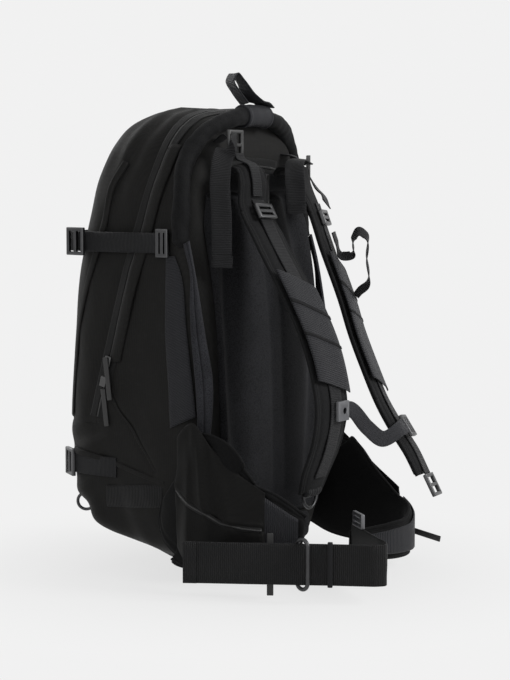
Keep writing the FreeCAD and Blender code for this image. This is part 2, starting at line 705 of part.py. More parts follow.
def sternum_strap():
    """Plate on the left pad, webbing that sags across, and a lock before the right pad."""
    gap = size("seat_gap")
    thick = size("buckle_thick")
    left = on_pad("left", STERNUM_LEFT, size("web_thick") + 2 * gap + thick / 2, 8)
    clip = DOC.addObject("Part::Box", "sternum_plate")
    clip.setExpression("Length", "sizes.sternum_plate")
    clip.setExpression("Width", "sizes.buckle_thick")
    clip.setExpression("Height", "sizes.sternum_plate")
    half = size("sternum_plate") / 2
    clip.Placement = Placement(left - Vector(half, thick / 2, half), Rotation())
    hole = DOC.addObject("Part::Cylinder", "sternum_hole")
    hole.setExpression("Radius", "sizes.sternum_plate / 6")
    hole.setExpression("Height", "sizes.buckle_thick * 3")
    hole.Placement = Placement(left + Vector(2, thick * 1.5, 0), Rotation(Vector(1, 0, 0), 90))
    plate = DOC.addObject("Part::Cut", "sternum_cut")
    plate.Base, plate.Tool = clip, hole
    keep(plate, "sternum_clip")
    right = on_pad("right", STERNUM_RIGHT, size("web_thick") + size("sternum_gap") + thick / 2)
    _, across, out = pad_frame("right", STERNUM_RIGHT)
    along = across.cross(out)
    turn = Rotation(along, out * -1, across, "XYZ")
    keep(ladder_lock("sternum_lock", "sternum_width", "sternum_lock_height", right, turn), "sternum_buckle")
    end = right - across * (size("sternum_lock_height") / 2 + gap)
    start = left + Vector(half + gap, 0, 0)
    level = Vector(6, 0, 0)
    ahead = end - across * 20
    sag = Vector(0, -2, -24)
    stations = [(start, (0, 0, 1)), (start + level, (0, 0, 1))]
    stations += [(start + (ahead - start) * share + sag * dip, (0, 0, 1)) for share, dip in ((0.3, 0.7), (0.6, 1))]
    stations += [(ahead + sag * 0.1, tuple(along * -0.5 + Vector(0, 0, 0.5)))]
    stations += [(end - across * 4, tuple(along * -1)), (end, tuple(along * -1))]
    shape_part("sternum_webbing", ribbon(stations, size("sternum_width"), size("web_thick")))


# --- hip belt -------------------------------------------------------------------------------
# Each station is x, y, lower edge, upper edge, going from the pack's side round to the tip.

WINGS = {
    "left": [(-1.0, 50, 80, 140), (-1.02, 34, 26, 168), (-1.03, 10, 0, 186), (-1.03, -18, -6, 156), (-0.99, -50, -8, 128),
             (-0.93, -80, -4, 107), (-0.845, -105, 4, 88), (-0.79, -118, 10, 78)],
    "right": [(1.0, 50, 80, 172), (1.02, 34, 26, 166), (1.03, 0, -2, 140), (1.01, -50, -8, 100), (0.94, -92, -8, 74),
              (0.825, -122, -6, 58), (0.635, -136, -4, 45), (0.38, -134, -2, 42), (0.19, -124, 2, 40), (0.0, -110, 6, 38)],
}


# How far each pocket swells at the wing's stations, as shares of its thickness.
POCKET_SWELL = {"left": (0.35, 1, 1, 0.7, 0.28), "right": (0.35, 1, 1, 0.28)}


def upright_loft(stations, thickness, offset=0.0):
    """A standing band through stations seen from above, moved outwards by offset."""
    thicks = thickness if isinstance(thickness, list) else [thickness] * len(stations)
    wires = []
    for i, (x, y, low, high) in enumerate(stations):
        before, after = stations[max(i - 1, 0)], stations[min(i + 1, len(stations) - 1)]
        run = math.hypot(after[0] - before[0], after[1] - before[1])
        nx, ny = (after[1] - before[1]) / run, -(after[0] - before[0]) / run
        if nx * stations[0][0] < 0:
            nx, ny = -nx, -ny
        if i > 0 and nx * last[0] + ny * last[1] < 0:
            nx, ny = -nx, -ny
        last = (nx, ny)
        near, far = offset - thicks[i] / 2, offset + thicks[i] / 2
        corners = [pt(x + nx * near, y + ny * near, low), pt(x + nx * far, y + ny * far, low),
                   pt(x + nx * far, y + ny * far, high), pt(x + nx * near, y + ny * near, high)]
        wires.append(Part.makePolygon(corners + corners[:1]))
    return Part.makeLoft(wires, True, True)


def wing_stations(name):
    reach = size("wing_reach")
    return [(x * reach, y, low, high) for x, y, low, high in WINGS[name]]


def belt_wings():
    """Padded wings; the left one ends in the tab that holds the belt link."""
    gap = size("seat_gap")
    wing = size("wing_thick")
    rail = link_rail()
    for name, side in SIDES:
        stations = wing_stations(name)
        shape = upright_loft(stations, wing)
        if side < 0:
            x, y = stations[-2][0], stations[-2][1]
            run = math.hypot(rail[0] - x, rail[1] - y)
            ux, uy = (rail[0] - x) / run, (rail[1] - y) / run
            stop = run - size("link_wire") / 2 - gap
            tab = plan_band([(x, y), (x + ux * stop / 2, y + uy * stop / 2), (x + ux * stop, y + uy * stop)], 3.6, 12, 40)
            shape = shape.fuse(tab)
        shape_part("belt_wing_" + name, shape)
        swell = [share * size("pocket_thick") for share in POCKET_SWELL[name]]
        pocket = [(x, y, low + 8, high - 14) for x, y, low, high in stations[1:1 + len(swell)]]
        wires = upright_loft_outside(pocket, swell, wing / 2 + gap)
        shape_part("belt_pocket_" + name, wires)


def upright_loft_outside(stations, swell, start):
    """A standing band that swells outwards from a face at distance start."""
    wires = []
    for i, (x, y, low, high) in enumerate(stations):
        before, after = stations[max(i - 1, 0)], stations[min(i + 1, len(stations) - 1)]
        run = math.hypot(after[0] - before[0], after[1] - before[1])
        nx, ny = (after[1] - before[1]) / run, -(after[0] - before[0]) / run
        if nx * x < 0:
            nx, ny = -nx, -ny
        near, far = start + 0.4, start + 0.4 + swell[i]
        corners = [pt(x + nx * near, y + ny * near, low), pt(x + nx * far, y + ny * far, low + swell[i] * 0.4),
                   pt(x + nx * far, y + ny * far, high - swell[i] * 0.4), pt(x + nx * near, y + ny * near, high)]
        wires.append(Part.makePolygon(corners + corners[:1]))
    return Part.makeLoft(wires, True, True)


# The belt's front webbing runs straight from its free end to the fold, then back to the right wing.
WEB_START = (-218, -8)
WEB_FOLD = (-110, -216)
LINK_SHARE = 0.609
KEEPER_SHARE = 0.75
LINK_TURN = 40


def web_point(share):
    return (WEB_START[0] + (WEB_FOLD[0] - WEB_START[0]) * share, WEB_START[1] + (WEB_FOLD[1] - WEB_START[1]) * share)


def web_angle():
    return math.degrees(math.atan2(WEB_FOLD[1] - WEB_START[1], WEB_FOLD[0] - WEB_START[0]))


def link_rail():
    """The belt link's rail on the pack's side, which the wing's tab holds."""
    x, y = web_point(LINK_SHARE)
    angle = math.radians(web_angle() - LINK_TURN)
    return (x - math.cos(angle) * size("link_width") / 2, y - math.sin(angle) * size("link_width") / 2)


def belt_webbing():
    low = size("belt_low")
    tip = wing_stations("right")[-1]
    path = [web_point(share) for share in (0, 0.25, 0.5, 0.75, 0.9)]
    path += [(-110, -215), (-103, -220), (-94, -216), (-70, -190), (-36, -153), (tip[0] - 2.9, tip[1] - 6.2)]
    shape_part("belt_webbing", plan_band(path, size("belt_web_thick"), low, low + size("web_wide")))


def belt_link():
    """An oval of round bar that stands across the webbing."""
    half = size("link_width") / 2
    x, y = web_point(LINK_SHARE)
    middle = size("belt_low") + size("web_wide") / 2
    turn = Rotation(Vector(0, 0, 1), web_angle() - LINK_TURN)
    centre = pt(x, y, middle)
    members = []
    for k in (-1, 1):
        rail = DOC.addObject("Part::Cylinder", "link_rail")
        rail.setExpression("Radius", "sizes.link_wire / 2")
        rail.setExpression("Height", "sizes.link_length - sizes.link_width")
        straight = size("link_length") - size("link_width")
        rail.Placement = Placement(centre + turn.multVec(Vector(k * half, 0, -straight / 2)), turn)
        end = DOC.addObject("Part::Torus", "link_end")
        end.setExpression("Radius1", "sizes.link_width / 2")
        end.setExpression("Radius2", "sizes.link_wire / 2")
        end.Angle3 = 180
        over = turn.multiply(Rotation(Vector(1, 0, 0), 90 * k))
        end.Placement = Placement(centre + Vector(0, 0, k * straight / 2), over)
        members += [rail, end]
    ring = DOC.addObject("Part::MultiFuse", "link_bar")
    ring.Shapes = members
    keep(ring, "belt_link")


def belt_keeper():
    """An elastic band round both layers of webbing."""
    x, y = web_point(KEEPER_SHARE)
    low = size("belt_low")
    web = size("belt_web_thick")
    turn = Rotation(Vector(0, 0, 1), web_angle())
    outer = DOC.addObject("Part::Box", "keeper_band")
    outer.Length = 6
    outer.setExpression("Width", "sizes.belt_web_thick + 4")
    outer.setExpression("Height", "sizes.web_wide + 4")
    inner = DOC.addObject("Part::Box", "keeper_room")
    inner.Length = 18
    inner.setExpression("Width", "sizes.belt_web_thick + 1")
    inner.setExpression("Height", "sizes.web_wide + 1")
    centre = pt(x, y, low + size("web_wide") / 2)
    for block, length, extra in ((outer, 6, 4), (inner, 18, 1)):
        middle = Vector(length / 2, (web + extra) / 2, (size("web_wide") + extra) / 2)
        block.Placement = Placement(centre - turn.multVec(middle), turn)
    band = DOC.addObject("Part::Cut", "keeper")
    band.Base, band.Tool = outer, inner
    keep(band, "belt_keeper")


def belt_hook():
    """A flat hook that hangs on the right wing's tip, level above the webbing."""
    tip = wing_stations("right")[-1]
    top = size("belt_low") + size("web_wide") + size("seat_gap") + size("hook_height") / 2
    yaw = math.degrees(math.atan2(tip[1] - 4 + 152, tip[0] - 2.2 + 36))
    lock = ladder_lock("tip_hook", "web_narrow", "hook_height", pt(-22, -136, top), facing(yaw))
    keep(lock, "belt_hook")


# --- zip sliders and pullers ----------------------------------------------------------------

def block(name, length, width, height):
    """A block whose sizes follow the sheet; each argument is an expression."""
    solid = DOC.addObject("Part::Box", name)
    solid.setExpression("Length", length)
    solid.setExpression("Width", width)
    solid.setExpression("Height", height)
    return solid


def main_zip():
    """Two sliders parked near the lower end of the left zip, each with its puller."""
    lean = Rotation(Vector(1, 0, 0), math.degrees(math.atan(size("split_slope"))))
    skin_x = -size("body_width") / 2 - size("trim_thick") - 1.4
    thick, wide = size("slider_thick"), size("slider_width")
    long, gap = size("slider_length"), size("seat_gap")
    for name, height, clear, drop in (("upper", 252, thick + 2 * gap, 54), ("lower", 226, 0, 47)):
        slider = block(name + "_slider_block", "sizes.slider_thick", "sizes.slider_width", "sizes.slider_length")
        centre = pt(skin_x - thick / 2, split_y(height), height)
        slider.Placement = Placement(centre - lean.multVec(Vector(thick / 2, wide / 2, long / 2)), lean)
        keep(slider, "zip_slider_" + name)
        tab = block(name + "_puller_block", "sizes.puller_thick", "sizes.puller_width", "%d" % drop)
        top = height + (long / 2 - 1 if clear else -long / 2 - gap - 2.3)
        tab_x = skin_x - clear - size("puller_thick")
        hang = Rotation(Vector(1, 0, 0), -7)
        tab.Placement = Placement(pt(tab_x, split_y(height) - 2, top) - hang.multVec(Vector(0, 0, drop)), hang)
        keep(tab, "zip_puller_" + name)


# Top of each puller's middle, then its turn about the upright axis, its lean from hanging, and its length.
POCKET_PULLERS = {"left": ((-151.2, -88.8, 58), 28.4, 0, 76), "right": ((167.7, -80, 20), 3, -78.5, 70)}


def pocket_pullers():
    """The left puller hangs over the wing's face; the right one sticks out past its pocket."""
    for name, (place, yaw, lean, length) in POCKET_PULLERS.items():
        tab = block("pocket_puller_block_" + name, "sizes.puller_thick", "sizes.puller_width + 1", "%d" % length)
        turn = Rotation(Vector(0, 0, 1), yaw).multiply(Rotation(Vector(1, 0, 0), lean))
        middle = Vector(size("puller_thick") / 2, (size("puller_width") + 1) / 2, length)
        tab.Placement = Placement(pt(*place) - turn.multVec(middle), turn)
        keep(tab, "pocket_puller_" + name)


def back_pullers():
    """Pullers of the back zip, side by side under the rim."""
    for name, x, drop in (("left", -6, 62), ("right", 10, 44)):
        tab = block("back_puller_block_" + name, "sizes.puller_width", "sizes.puller_thick", "%d" % drop)
        face = yoke_face() - size("seat_gap") - size("puller_thick")
        top = size("foam_high") + size("yoke_height") - 1
        tab.Placement = Placement(pt(x, face, top - drop), Rotation())
        keep(tab, "back_puller_" + name)


body_parts()
base_panel()
back_panel()
side_trims()
zip_tapes()
inside_parts()
rim_parts()
harness_pads()
side_webbing()
haul_loop()
shell_locks()
lifter_webbing()
compression_straps()
shoulder_straps()
lifter_tapes()
strap_ends()
sternum_strap()
belt_wings()
belt_webbing()
belt_link()
belt_keeper()
belt_hook()
main_zip()
pocket_pullers()
back_pullers()

DOC.recompute()
os.makedirs("parts", exist_ok=True)
for node in NODES:
    bad = [state for state in ("Invalid", "Error") if state in node.State]
    if bad or node.Shape.isNull() or not node.Shape.isValid():
        raise RuntimeError("%s did not build: %s" % (node.Label, bad))
for node in NODES:
    node.Shape.exportStep("parts/%s.step" % node.Label)
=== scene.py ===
"""A ski backpack's cloth, webbing, foam and metalwork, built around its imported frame.

Places are drawn in millimetres from the back panel: x to the right when facing the harness, y away
from the wearer from the panel's face, z up from the panel's lower edge. drawn() turns them into the
frame's metres.
"""

import math

import bmesh
import bpy
import numpy as np
from bpy.props import FloatProperty, PointerProperty
from bpy.types import Operator, Panel, PropertyGroup
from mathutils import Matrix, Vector


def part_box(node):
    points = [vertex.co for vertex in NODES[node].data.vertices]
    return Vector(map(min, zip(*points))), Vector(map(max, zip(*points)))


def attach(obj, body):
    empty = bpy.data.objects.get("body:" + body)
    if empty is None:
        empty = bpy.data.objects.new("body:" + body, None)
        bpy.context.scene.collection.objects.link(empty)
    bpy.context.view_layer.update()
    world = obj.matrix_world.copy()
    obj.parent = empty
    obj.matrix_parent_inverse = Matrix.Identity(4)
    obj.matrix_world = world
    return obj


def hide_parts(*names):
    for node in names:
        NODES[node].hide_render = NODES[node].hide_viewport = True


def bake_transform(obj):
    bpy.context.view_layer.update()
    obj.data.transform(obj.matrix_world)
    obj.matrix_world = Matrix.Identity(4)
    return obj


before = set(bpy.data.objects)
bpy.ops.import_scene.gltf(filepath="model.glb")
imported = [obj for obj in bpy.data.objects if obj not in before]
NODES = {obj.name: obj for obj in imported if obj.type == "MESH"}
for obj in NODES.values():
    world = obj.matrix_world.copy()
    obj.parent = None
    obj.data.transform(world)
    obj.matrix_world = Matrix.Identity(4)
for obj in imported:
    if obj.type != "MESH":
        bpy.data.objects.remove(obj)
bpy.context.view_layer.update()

bl_info = {
    "name": "Ski backpack",
    "version": (1, 0, 0),
    "blender": (4, 5, 0),
    "location": "View3D > Sidebar > Backpack",
    "description": "Sews the cloth, webbing and pads of a ski backpack around its frame",
    "category": "Object",
}

TAU = 2 * math.pi
UP = np.array([0.0, 0.0, 1.0])
SIDES = (("left", -1.0), ("right", 1.0))


# --- numbers ----------------------------------------------------------------------------------

def drawn(points):
    """Drawn millimetres to the frame's metres: x, y - 56 and z + 22, over a thousand."""
    return (np.asarray(points, float) + np.array([0.0, -56.0, 22.0])) / 1000


def turns(count):
    """Angles of equal steps once round, as a row."""
    return np.linspace(0, TAU, count, endpoint=False)[None]


def unit(v):
    """Each row over its own length."""
    return v / np.maximum(np.linalg.norm(v, axis=-1, keepdims=True), 1e-12)


def smooth(rows, count, knots=None):
    """Hermite curve through the rows with chord slopes, sampled at equal steps of the knots."""
    rows = np.asarray(rows, float)
    if knots is None:
        knots = np.concatenate([[0], np.cumsum(np.linalg.norm(np.diff(rows[:, :3], axis=0), axis=1) + 1e-9)])
    slope = np.gradient(rows, knots, axis=0)
    at = np.linspace(knots[0], knots[-1], count)
    i = np.clip(np.searchsorted(knots, at, side="right") - 1, 0, len(rows) - 2)
    h = (knots[i + 1] - knots[i])[:, None]
    t = (at - knots[i])[:, None] / h
    return ((2 * t**3 - 3 * t**2 + 1) * rows[i] + (t**3 - 2 * t**2 + t) * h * slope[i]
            + (3 * t**2 - 2 * t**3) * rows[i + 1] + (t**3 - t**2) * h * slope[i + 1])


def step(low, high, x):
    """Smooth step: 0 below low, 1 above high, 3t^2 - 2t^3 between."""
    t = np.clip((x - low) / (high - low), 0, 1)
    return t * t * (3 - 2 * t)


def hump(centre, half, x):
    """A soft bump: exp of minus the square of the distance over half."""
    return np.exp(-((x - centre) / half) ** 2)


def ripple(seed, *axes, waves=7):
    """A sum of sine waves of random direction and phase over the axes, about -1 to 1."""
    rng = np.random.default_rng(seed)
    total = 0
    for _ in range(waves):
        turn = rng.normal(size=len(axes))
        turn = turn / np.linalg.norm(turn) * rng.uniform(0.6, 1.6)
        total = total + np.sin(sum(a * w for a, w in zip(axes, turn)) * TAU + rng.uniform(0, TAU))
    return total / math.sqrt(waves)


def normals(grid):
    """Cross product of the two differences of a grid that is closed across, unit length."""
    return unit(np.cross(np.roll(grid, -1, axis=1) - np.roll(grid, 1, axis=1), np.gradient(grid, axis=0)))


def lengths(grid, axis):
    """Distance run along an axis of a grid of places, in metres."""
    run = np.linalg.norm(np.diff(grid, axis=axis), axis=-1)
    shape = list(run.shape)
    shape[axis] = 1
    return np.concatenate([np.zeros(shape), np.cumsum(run, axis=axis)], axis=axis)


# --- meshes -----------------------------------------------------------------------------------

def linked(name, mesh):
    """An object at the origin for a mesh, in the scene."""
    obj = bpy.data.objects.new(name, mesh)
    bpy.context.scene.collection.objects.link(obj)
    return obj


def outward(mesh, weld=0.0):
    """Merges points closer than weld, in metres, and turns a mesh's faces outwards."""
    tidy = bmesh.new()
    tidy.from_mesh(mesh)
    if weld:
        bmesh.ops.remove_doubles(tidy, verts=tidy.verts, dist=weld)
    bmesh.ops.recalc_face_normals(tidy, faces=tidy.faces)
    tidy.to_mesh(mesh)
    tidy.free()


def measure(across, along):
    """A cloth's measure, across and along, spread over one shape."""
    return np.stack(np.broadcast_arrays(across, along), -1)


def make(name, verts, faces, uv, closed=True):
    """A mesh object from arrays; uv holds one pair per vertex, in metres."""
    mesh = bpy.data.meshes.new(name)
    mesh.from_pydata(np.asarray(verts).tolist(), [], [tuple(int(i) for i in f if i >= 0) for f in faces])
    loops = np.empty(len(mesh.loops), np.int32)
    mesh.loops.foreach_get("vertex_index", loops)
    mesh.uv_layers.new(name="cloth").data.foreach_set("uv", np.asarray(uv, np.float32)[loops].ravel())
    if closed:
        outward(mesh)
    mesh.shade_smooth()
    return linked(name, mesh)


def quads(rows, cols, wrap=False):
    """Corner numbers of a grid's squares, row by row."""
    i = np.arange(rows - 1)[:, None]
    j = np.arange(cols if wrap else cols - 1)[None, :]
    k = (j + 1) % cols
    return np.stack([i * cols + j, i * cols + k, (i + 1) * cols + k, (i + 1) * cols + j], -1).reshape(-1, 4)


def patch(name, grid, uv=None):
    """An open sheet over a grid of places, with its own lengths as the cloth's measure."""
    if uv is None:
        uv = measure(lengths(grid, 1), lengths(grid, 0)[:, :1])
    return make(name, grid.reshape(-1, 3), quads(*grid.shape[:2]), uv.reshape(-1, 2), closed=False)


def thick(obj, depth):
    """Gives a sheet its thickness inwards, applied at once."""
    solid = obj.modifiers.new("wall", "SOLIDIFY")
    solid.thickness, solid.offset, solid.use_even_offset = depth, -1.0, False
    return applied(obj)


def applied(obj):
    """Applies an object's modifiers to its mesh."""
    graph = bpy.context.evaluated_depsgraph_get()
    mesh = bpy.data.meshes.new_from_object(obj.evaluated_get(graph))
    obj.modifiers.clear()
    obj.data = mesh
    return obj


def loft(name, rings, uv=None):
    """A closed solid over rings of places: squares between rings and a fan over each end."""
    rows, cols = rings.shape[:2]
    uv = (measure(lengths(rings, 1), lengths(rings, 0)[:, :1]) if uv is None else uv).reshape(-1, 2)
    ends = np.stack([rings[0].mean(0), rings[-1].mean(0)])
    end_uv = np.stack([uv[:cols].mean(0), uv[-cols:].mean(0)])
    j = np.arange(cols)
    k = (j + 1) % cols
    none, foot = -np.ones(cols, int), (rows - 1) * cols
    first = np.stack([np.full(cols, rows * cols), k, j, none], -1)
    last = np.stack([np.full(cols, rows * cols + 1), foot + j, foot + k, none], -1)
    faces = np.concatenate([quads(rows, cols, True), first, last])
    return make(name, np.concatenate([rings.reshape(-1, 3), ends]), faces, np.concatenate([uv, end_uv]))


def frames(path, across):
    """Along, across and outward directions of a path: across is squared up, out is along x across."""
    along = unit(np.gradient(path, axis=0))
    across = unit(across - along * np.sum(across * along, axis=1, keepdims=True))
    return along, across, np.cross(along, across)


def carried(places, across, count, *fields):
    """A curve through drawn places with fields that follow it: its path in metres, its directions
    across and outwards, and each field, in metres, as a column."""
    n = len(places)
    columns = [np.broadcast_to(np.asarray(f, float).reshape(-1, k), (n, k)) for f, k in
               ((across, 3), *((field, 1) for field in fields))]
    rows = smooth(np.concatenate([drawn(places) * 1000, *columns], axis=1), count)
    path = rows[:, :3] / 1000
    _, side, out = frames(path, rows[:, 3:6])
    return path, side, out, *(rows[:, k:k + 1] / 1000 for k in range(6, 6 + len(fields)))


STRAP_EDGE = np.array([(-1, 0.25), (-0.985, 0.7), (-0.94, 1), (-0.6, 0.92), (0, 0.9), (0.6, 0.92), (0.94, 1),
                       (0.985, 0.7), (1, 0.25)])


def band(name, places, across, width, thickness, count=60, wave=0.0, seed=3):
    """Flat webbing along a curve: a thin section with slightly thicker selvedges carried along it."""
    path, side, out, wide = carried(places, across, count, width)
    top = STRAP_EDGE * 0.5
    section = np.concatenate([top, top[::-1] * [1, -1]])
    u = section[:, 0][None, :] * wide
    run = lengths(path[:, None], 0)
    h = section[:, 1][None, :] * thickness / 1000 + wave / 1000 * ripple(seed, run / 0.09, u / 0.03, waves=5)
    rings = path[:, None] + side[:, None] * u[..., None] + out[:, None] * h[..., None]
    return loft(name, rings, measure(u, run))


def tube(name, path, radius, sides=20):
    """A round section of the given radius, one per place, carried along a curve in metres."""
    radii = np.broadcast_to(np.atleast_1d(radius), (len(path),))[:, None]
    rows = smooth(np.concatenate([path, radii], axis=1), len(path))
    line, r = rows[:, :3], rows[:, 3]
    along = unit(np.gradient(line, axis=0))
    ref = np.where(np.abs(along[:, 2:3]) > 0.9, np.array([[1.0, 0, 0]]), UP[None, :])
    side = unit(np.cross(along, ref))
    out = np.cross(side, along)
    a = turns(sides)
    rings = (line[:, None] + r[:, None, None] * (np.cos(a)[..., None] * side[:, None]
             + np.sin(a)[..., None] * out[:, None]))
    return loft(name, rings, measure(a * 0.004, lengths(line[:, None], 0)))


def joined(name, parts):
    """Several meshes as one."""
    whole = bmesh.new()
    for part in parts:
        whole.from_mesh(part.data)
    mesh = bpy.data.meshes.new(name)
    whole.to_mesh(mesh)
    whole.free()
    for part in parts:
        bpy.data.objects.remove(part)
    return linked(name, mesh)


def eased(node, width, body, finish):
    """The frame's own metalwork with its edges rounded over by width, in metres."""
    mesh = bmesh.new()
    mesh.from_mesh(NODES[node].data)
    bmesh.ops.remove_doubles(mesh, verts=mesh.verts, dist=1e-6)
    flat = [e for e in mesh.edges if len(e.link_faces) == 2 and e.calc_face_angle(0) < 0.02]
    bmesh.ops.dissolve_edges(mesh, edges=flat, use_verts=False)
    data = bpy.data.meshes.new(node + "_eased")
    mesh.to_mesh(data)
    mesh.free()
    obj = linked(node + "_eased", data)
    bevel = obj.modifiers.new("edges", "BEVEL")
    bevel.width, bevel.segments, bevel.harden_normals = width, 3, False
    bevel.limit_method, bevel.angle_limit = "ANGLE", math.radians(28)
    applied(obj)
    obj.data.shade_smooth()
    obj.data.set_sharp_from_angle(angle=math.radians(50))
    return settle(obj, body, finish, node)


def stuffed(obj, fill, body, finish, *nodes):
    """Dresses and settles a padded piece; fill is not used."""
    settle(obj, body, finish, *nodes)


def settle(obj, body, finish, *nodes):
    """Dresses a piece, sets it riding on its body, and hides the frame's nodes that it stands for."""
    obj.data.materials.clear()
    obj.data.materials.append(FINISHES[finish])
    if body:
        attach(obj, body)
    if nodes:
        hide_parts(*nodes)
    return obj


# --- finishes -----------------------------------------------------------------------------------

class Wire:
    """A shader socket with arithmetic that adds Math nodes."""

    def __init__(self, paint, socket):
        self.paint, self.socket = paint, socket

    def sum(self, operation, *others):
        """A Math node on this value and the others."""
        node = self.paint.tree.nodes.new("ShaderNodeMath")
        node.operation = operation
        for place, value in zip(node.inputs, (self, *others)):
            self.paint.plug(place, value)
        return Wire(self.paint, node.outputs[0])

    def __add__(self, other):
        return self.sum("ADD", other)

    def __sub__(self, other):
        return self.sum("SUBTRACT", other)

    def __mul__(self, other):
        return self.sum("MULTIPLY", other)

    def __rsub__(self, other):
        return (self * -1.0) + other

    __radd__ = __add__
    __rmul__ = __mul__

    def wave(self):
        """Sine of the value, moved to 0 to 1."""
        return self.sum("SINE") * 0.5 + 0.5

    def over(self, low, high):
        """Smooth rise from 0 at low to 1 at high."""
        node = self.paint.tree.nodes.new("ShaderNodeMapRange")
        node.interpolation_type = "SMOOTHSTEP"
        node.inputs["From Min"].default_value, node.inputs["From Max"].default_value = low, high
        self.paint.plug(node.inputs["Value"], self)
        return Wire(self.paint, node.outputs["Result"])


class Paint:
    """A material being written: its node tree, its shader and a short way to add nodes."""

    def __init__(self, name, **fixed):
        self.material = bpy.data.materials.new(name)
        self.material.use_nodes = True
        self.tree = self.material.node_tree
        self.shader = next(n for n in self.tree.nodes if n.type == "BSDF_PRINCIPLED")
        for socket, value in fixed.items():
            self.shader.inputs[socket.replace("_", " ")].default_value = value

    def plug(self, place, value):
        if isinstance(value, Wire):
            self.tree.links.new(value.socket, place)
        else:
            place.default_value = value

    def node(self, kind, settings=None, out=0, **inputs):
        """Adds a node: its settings first, then the values or links of its sockets."""
        node = self.tree.nodes.new("ShaderNode" + kind)
        for key, value in (settings or {}).items():
            setattr(node, key, value)
        for key, value in inputs.items():
            self.plug(node.inputs[key.replace("_", " ")], value)
        return Wire(self, node.outputs[out])

    def cloth_uv(self):
        """The cloth's own measure in metres, across and along."""
        node = self.tree.nodes.new("ShaderNodeUVMap")
        node.uv_map = "cloth"
        parts = self.tree.nodes.new("ShaderNodeSeparateXYZ")
        self.tree.links.new(node.outputs[0], parts.inputs[0])
        return Wire(self, parts.outputs[0]), Wire(self, parts.outputs[1])

    def place(self):
        """Object coordinates, whole and by axis."""
        node = self.tree.nodes.new("ShaderNodeTexCoord")
        parts = self.tree.nodes.new("ShaderNodeSeparateXYZ")
        self.tree.links.new(node.outputs["Object"], parts.inputs[0])
        return Wire(self, node.outputs["Object"]), [Wire(self, o) for o in parts.outputs]

    def cloud(self, where, scale, detail=3.0, rough=0.55):
        """Smooth noise, 0 to 1, a scale of cells to the metre."""
        return self.node("TexNoise", Vector=where, Scale=scale, Detail=detail, Roughness=rough)

    def blend(self, share, low, high):
        """A colour between two, by share."""
        node = self.tree.nodes.new("ShaderNodeMix")
        node.data_type = "RGBA"
        for key, value in (("Factor_Float", share), ("A_Color", low), ("B_Color", high)):
            place = next(i for i in node.inputs if i.identifier == key)
            if isinstance(value, Wire):
                self.tree.links.new(value.socket, place)
            else:
                place.default_value = value if key == "Factor_Float" else (*value, 1.0)
        return Wire(self, next(o for o in node.outputs if o.identifier == "Result_Color"))

    def finish(self, colour, rough=None, height=None, depth=0.0003, metal=None):
        """Links what varies over the surface and gives the material back."""
        self.plug(self.shader.inputs["Base Color"], colour)
        if rough is not None:
            self.plug(self.shader.inputs["Roughness"], rough)
        if metal is not None:
            self.plug(self.shader.inputs["Metallic"], metal)
        if height is not None:
            bump = self.node("Bump", Height=height, Distance=depth, Strength=1.0)
            self.tree.links.new(bump.socket, self.shader.inputs["Normal"])
        return self.material


def grey(level, warm=0.0):
    """A grey as light sent back, from its 0 to 255 screen level, tipped warm or cool."""
    c = ((level / 255 + 0.055) / 1.055) ** 2.4
    return (c * (1 + max(warm, warm * 0.2)), c, c * (1 - warm * 1.6))


def woven(name, level, warm, pitch, depth, sheen, slub=0.25):
    """Plain cloth: two crossing sets of threads on object coordinates, slubs, soft mottling and dusty
    high spots."""
    paint = Paint(name, Sheen_Weight=sheen, Sheen_Roughness=0.45, Specular_IOR_Level=0.1)
    where, (x, y, z) = paint.place()
    turn = TAU / pitch
    threads = ((x + y * 0.6) * turn).wave() * 0.5 + (z * turn).wave() * 0.5
    fine = paint.cloud(where, 1 / pitch / 3, 2.0)
    broad = paint.cloud(where, 22.0, 4.0)
    worn = paint.cloud(where, 90.0, 5.0, 0.7).over(0.52, 0.75)
    shade = threads * 0.35 + fine * slub + broad * 0.6
    colour = paint.blend(shade.over(0.25, 0.95), grey(level * 0.86, warm), grey(level * 1.14, warm))
    colour = paint.blend(worn * 0.22, colour, grey(level * 1.5, warm * 0.5))
    return paint.finish(colour, broad * 0.16 + (0.62 - 0.08), threads + fine * 0.5, depth)


def ribbed(name, level, warm, rib, depth):
    """Webbing: ribs across its width, a fine twill along them, fuzz, and soft mottling."""
    paint = Paint(name, Sheen_Weight=0.05, Sheen_Roughness=0.4, Specular_IOR_Level=0.14)
    u, v = paint.cloth_uv()
    where, _ = paint.place()
    ribs = (v * (TAU / rib)).wave()
    twill = ((u + v) * (TAU / 0.0011)).wave()
    fuzz = paint.cloud(where, 700.0, 2.0)
    broad = paint.cloud(where, 30.0, 3.0)
    shade = ribs * 0.6 + twill * 0.15 + fuzz * 0.2 + broad * 0.25
    colour = paint.blend(shade.over(0.2, 1.0), grey(level * 0.72, warm), grey(level * 1.2, warm))
    return paint.finish(colour, broad * 0.15 + (0.5 - 0.05), ribs + twill * 0.25 + fuzz * 0.25, depth)


def foamed(name, level, warm, cell, depth):
    """Knitted or foamed cloth: round cells on object coordinates with dark gaps."""
    paint = Paint(name, Sheen_Weight=0.03, Sheen_Roughness=0.5, Specular_IOR_Level=0.08)
    where, _ = paint.place()
    cells = paint.node("TexVoronoi", Vector=where, Scale=1 / cell)
    broad = paint.cloud(where, 26.0, 4.0)
    fine = paint.cloud(where, 900.0, 2.0)
    shade = cells * -0.7 + broad * 0.6 + fine * 0.3 + 0.4
    colour = paint.blend(shade.over(0.1, 0.9), grey(level * 0.7, warm), grey(level * 1.2, warm))
    return paint.finish(colour, broad * 0.12 + 0.68, cells * -1.0 + fine * 0.3, depth)


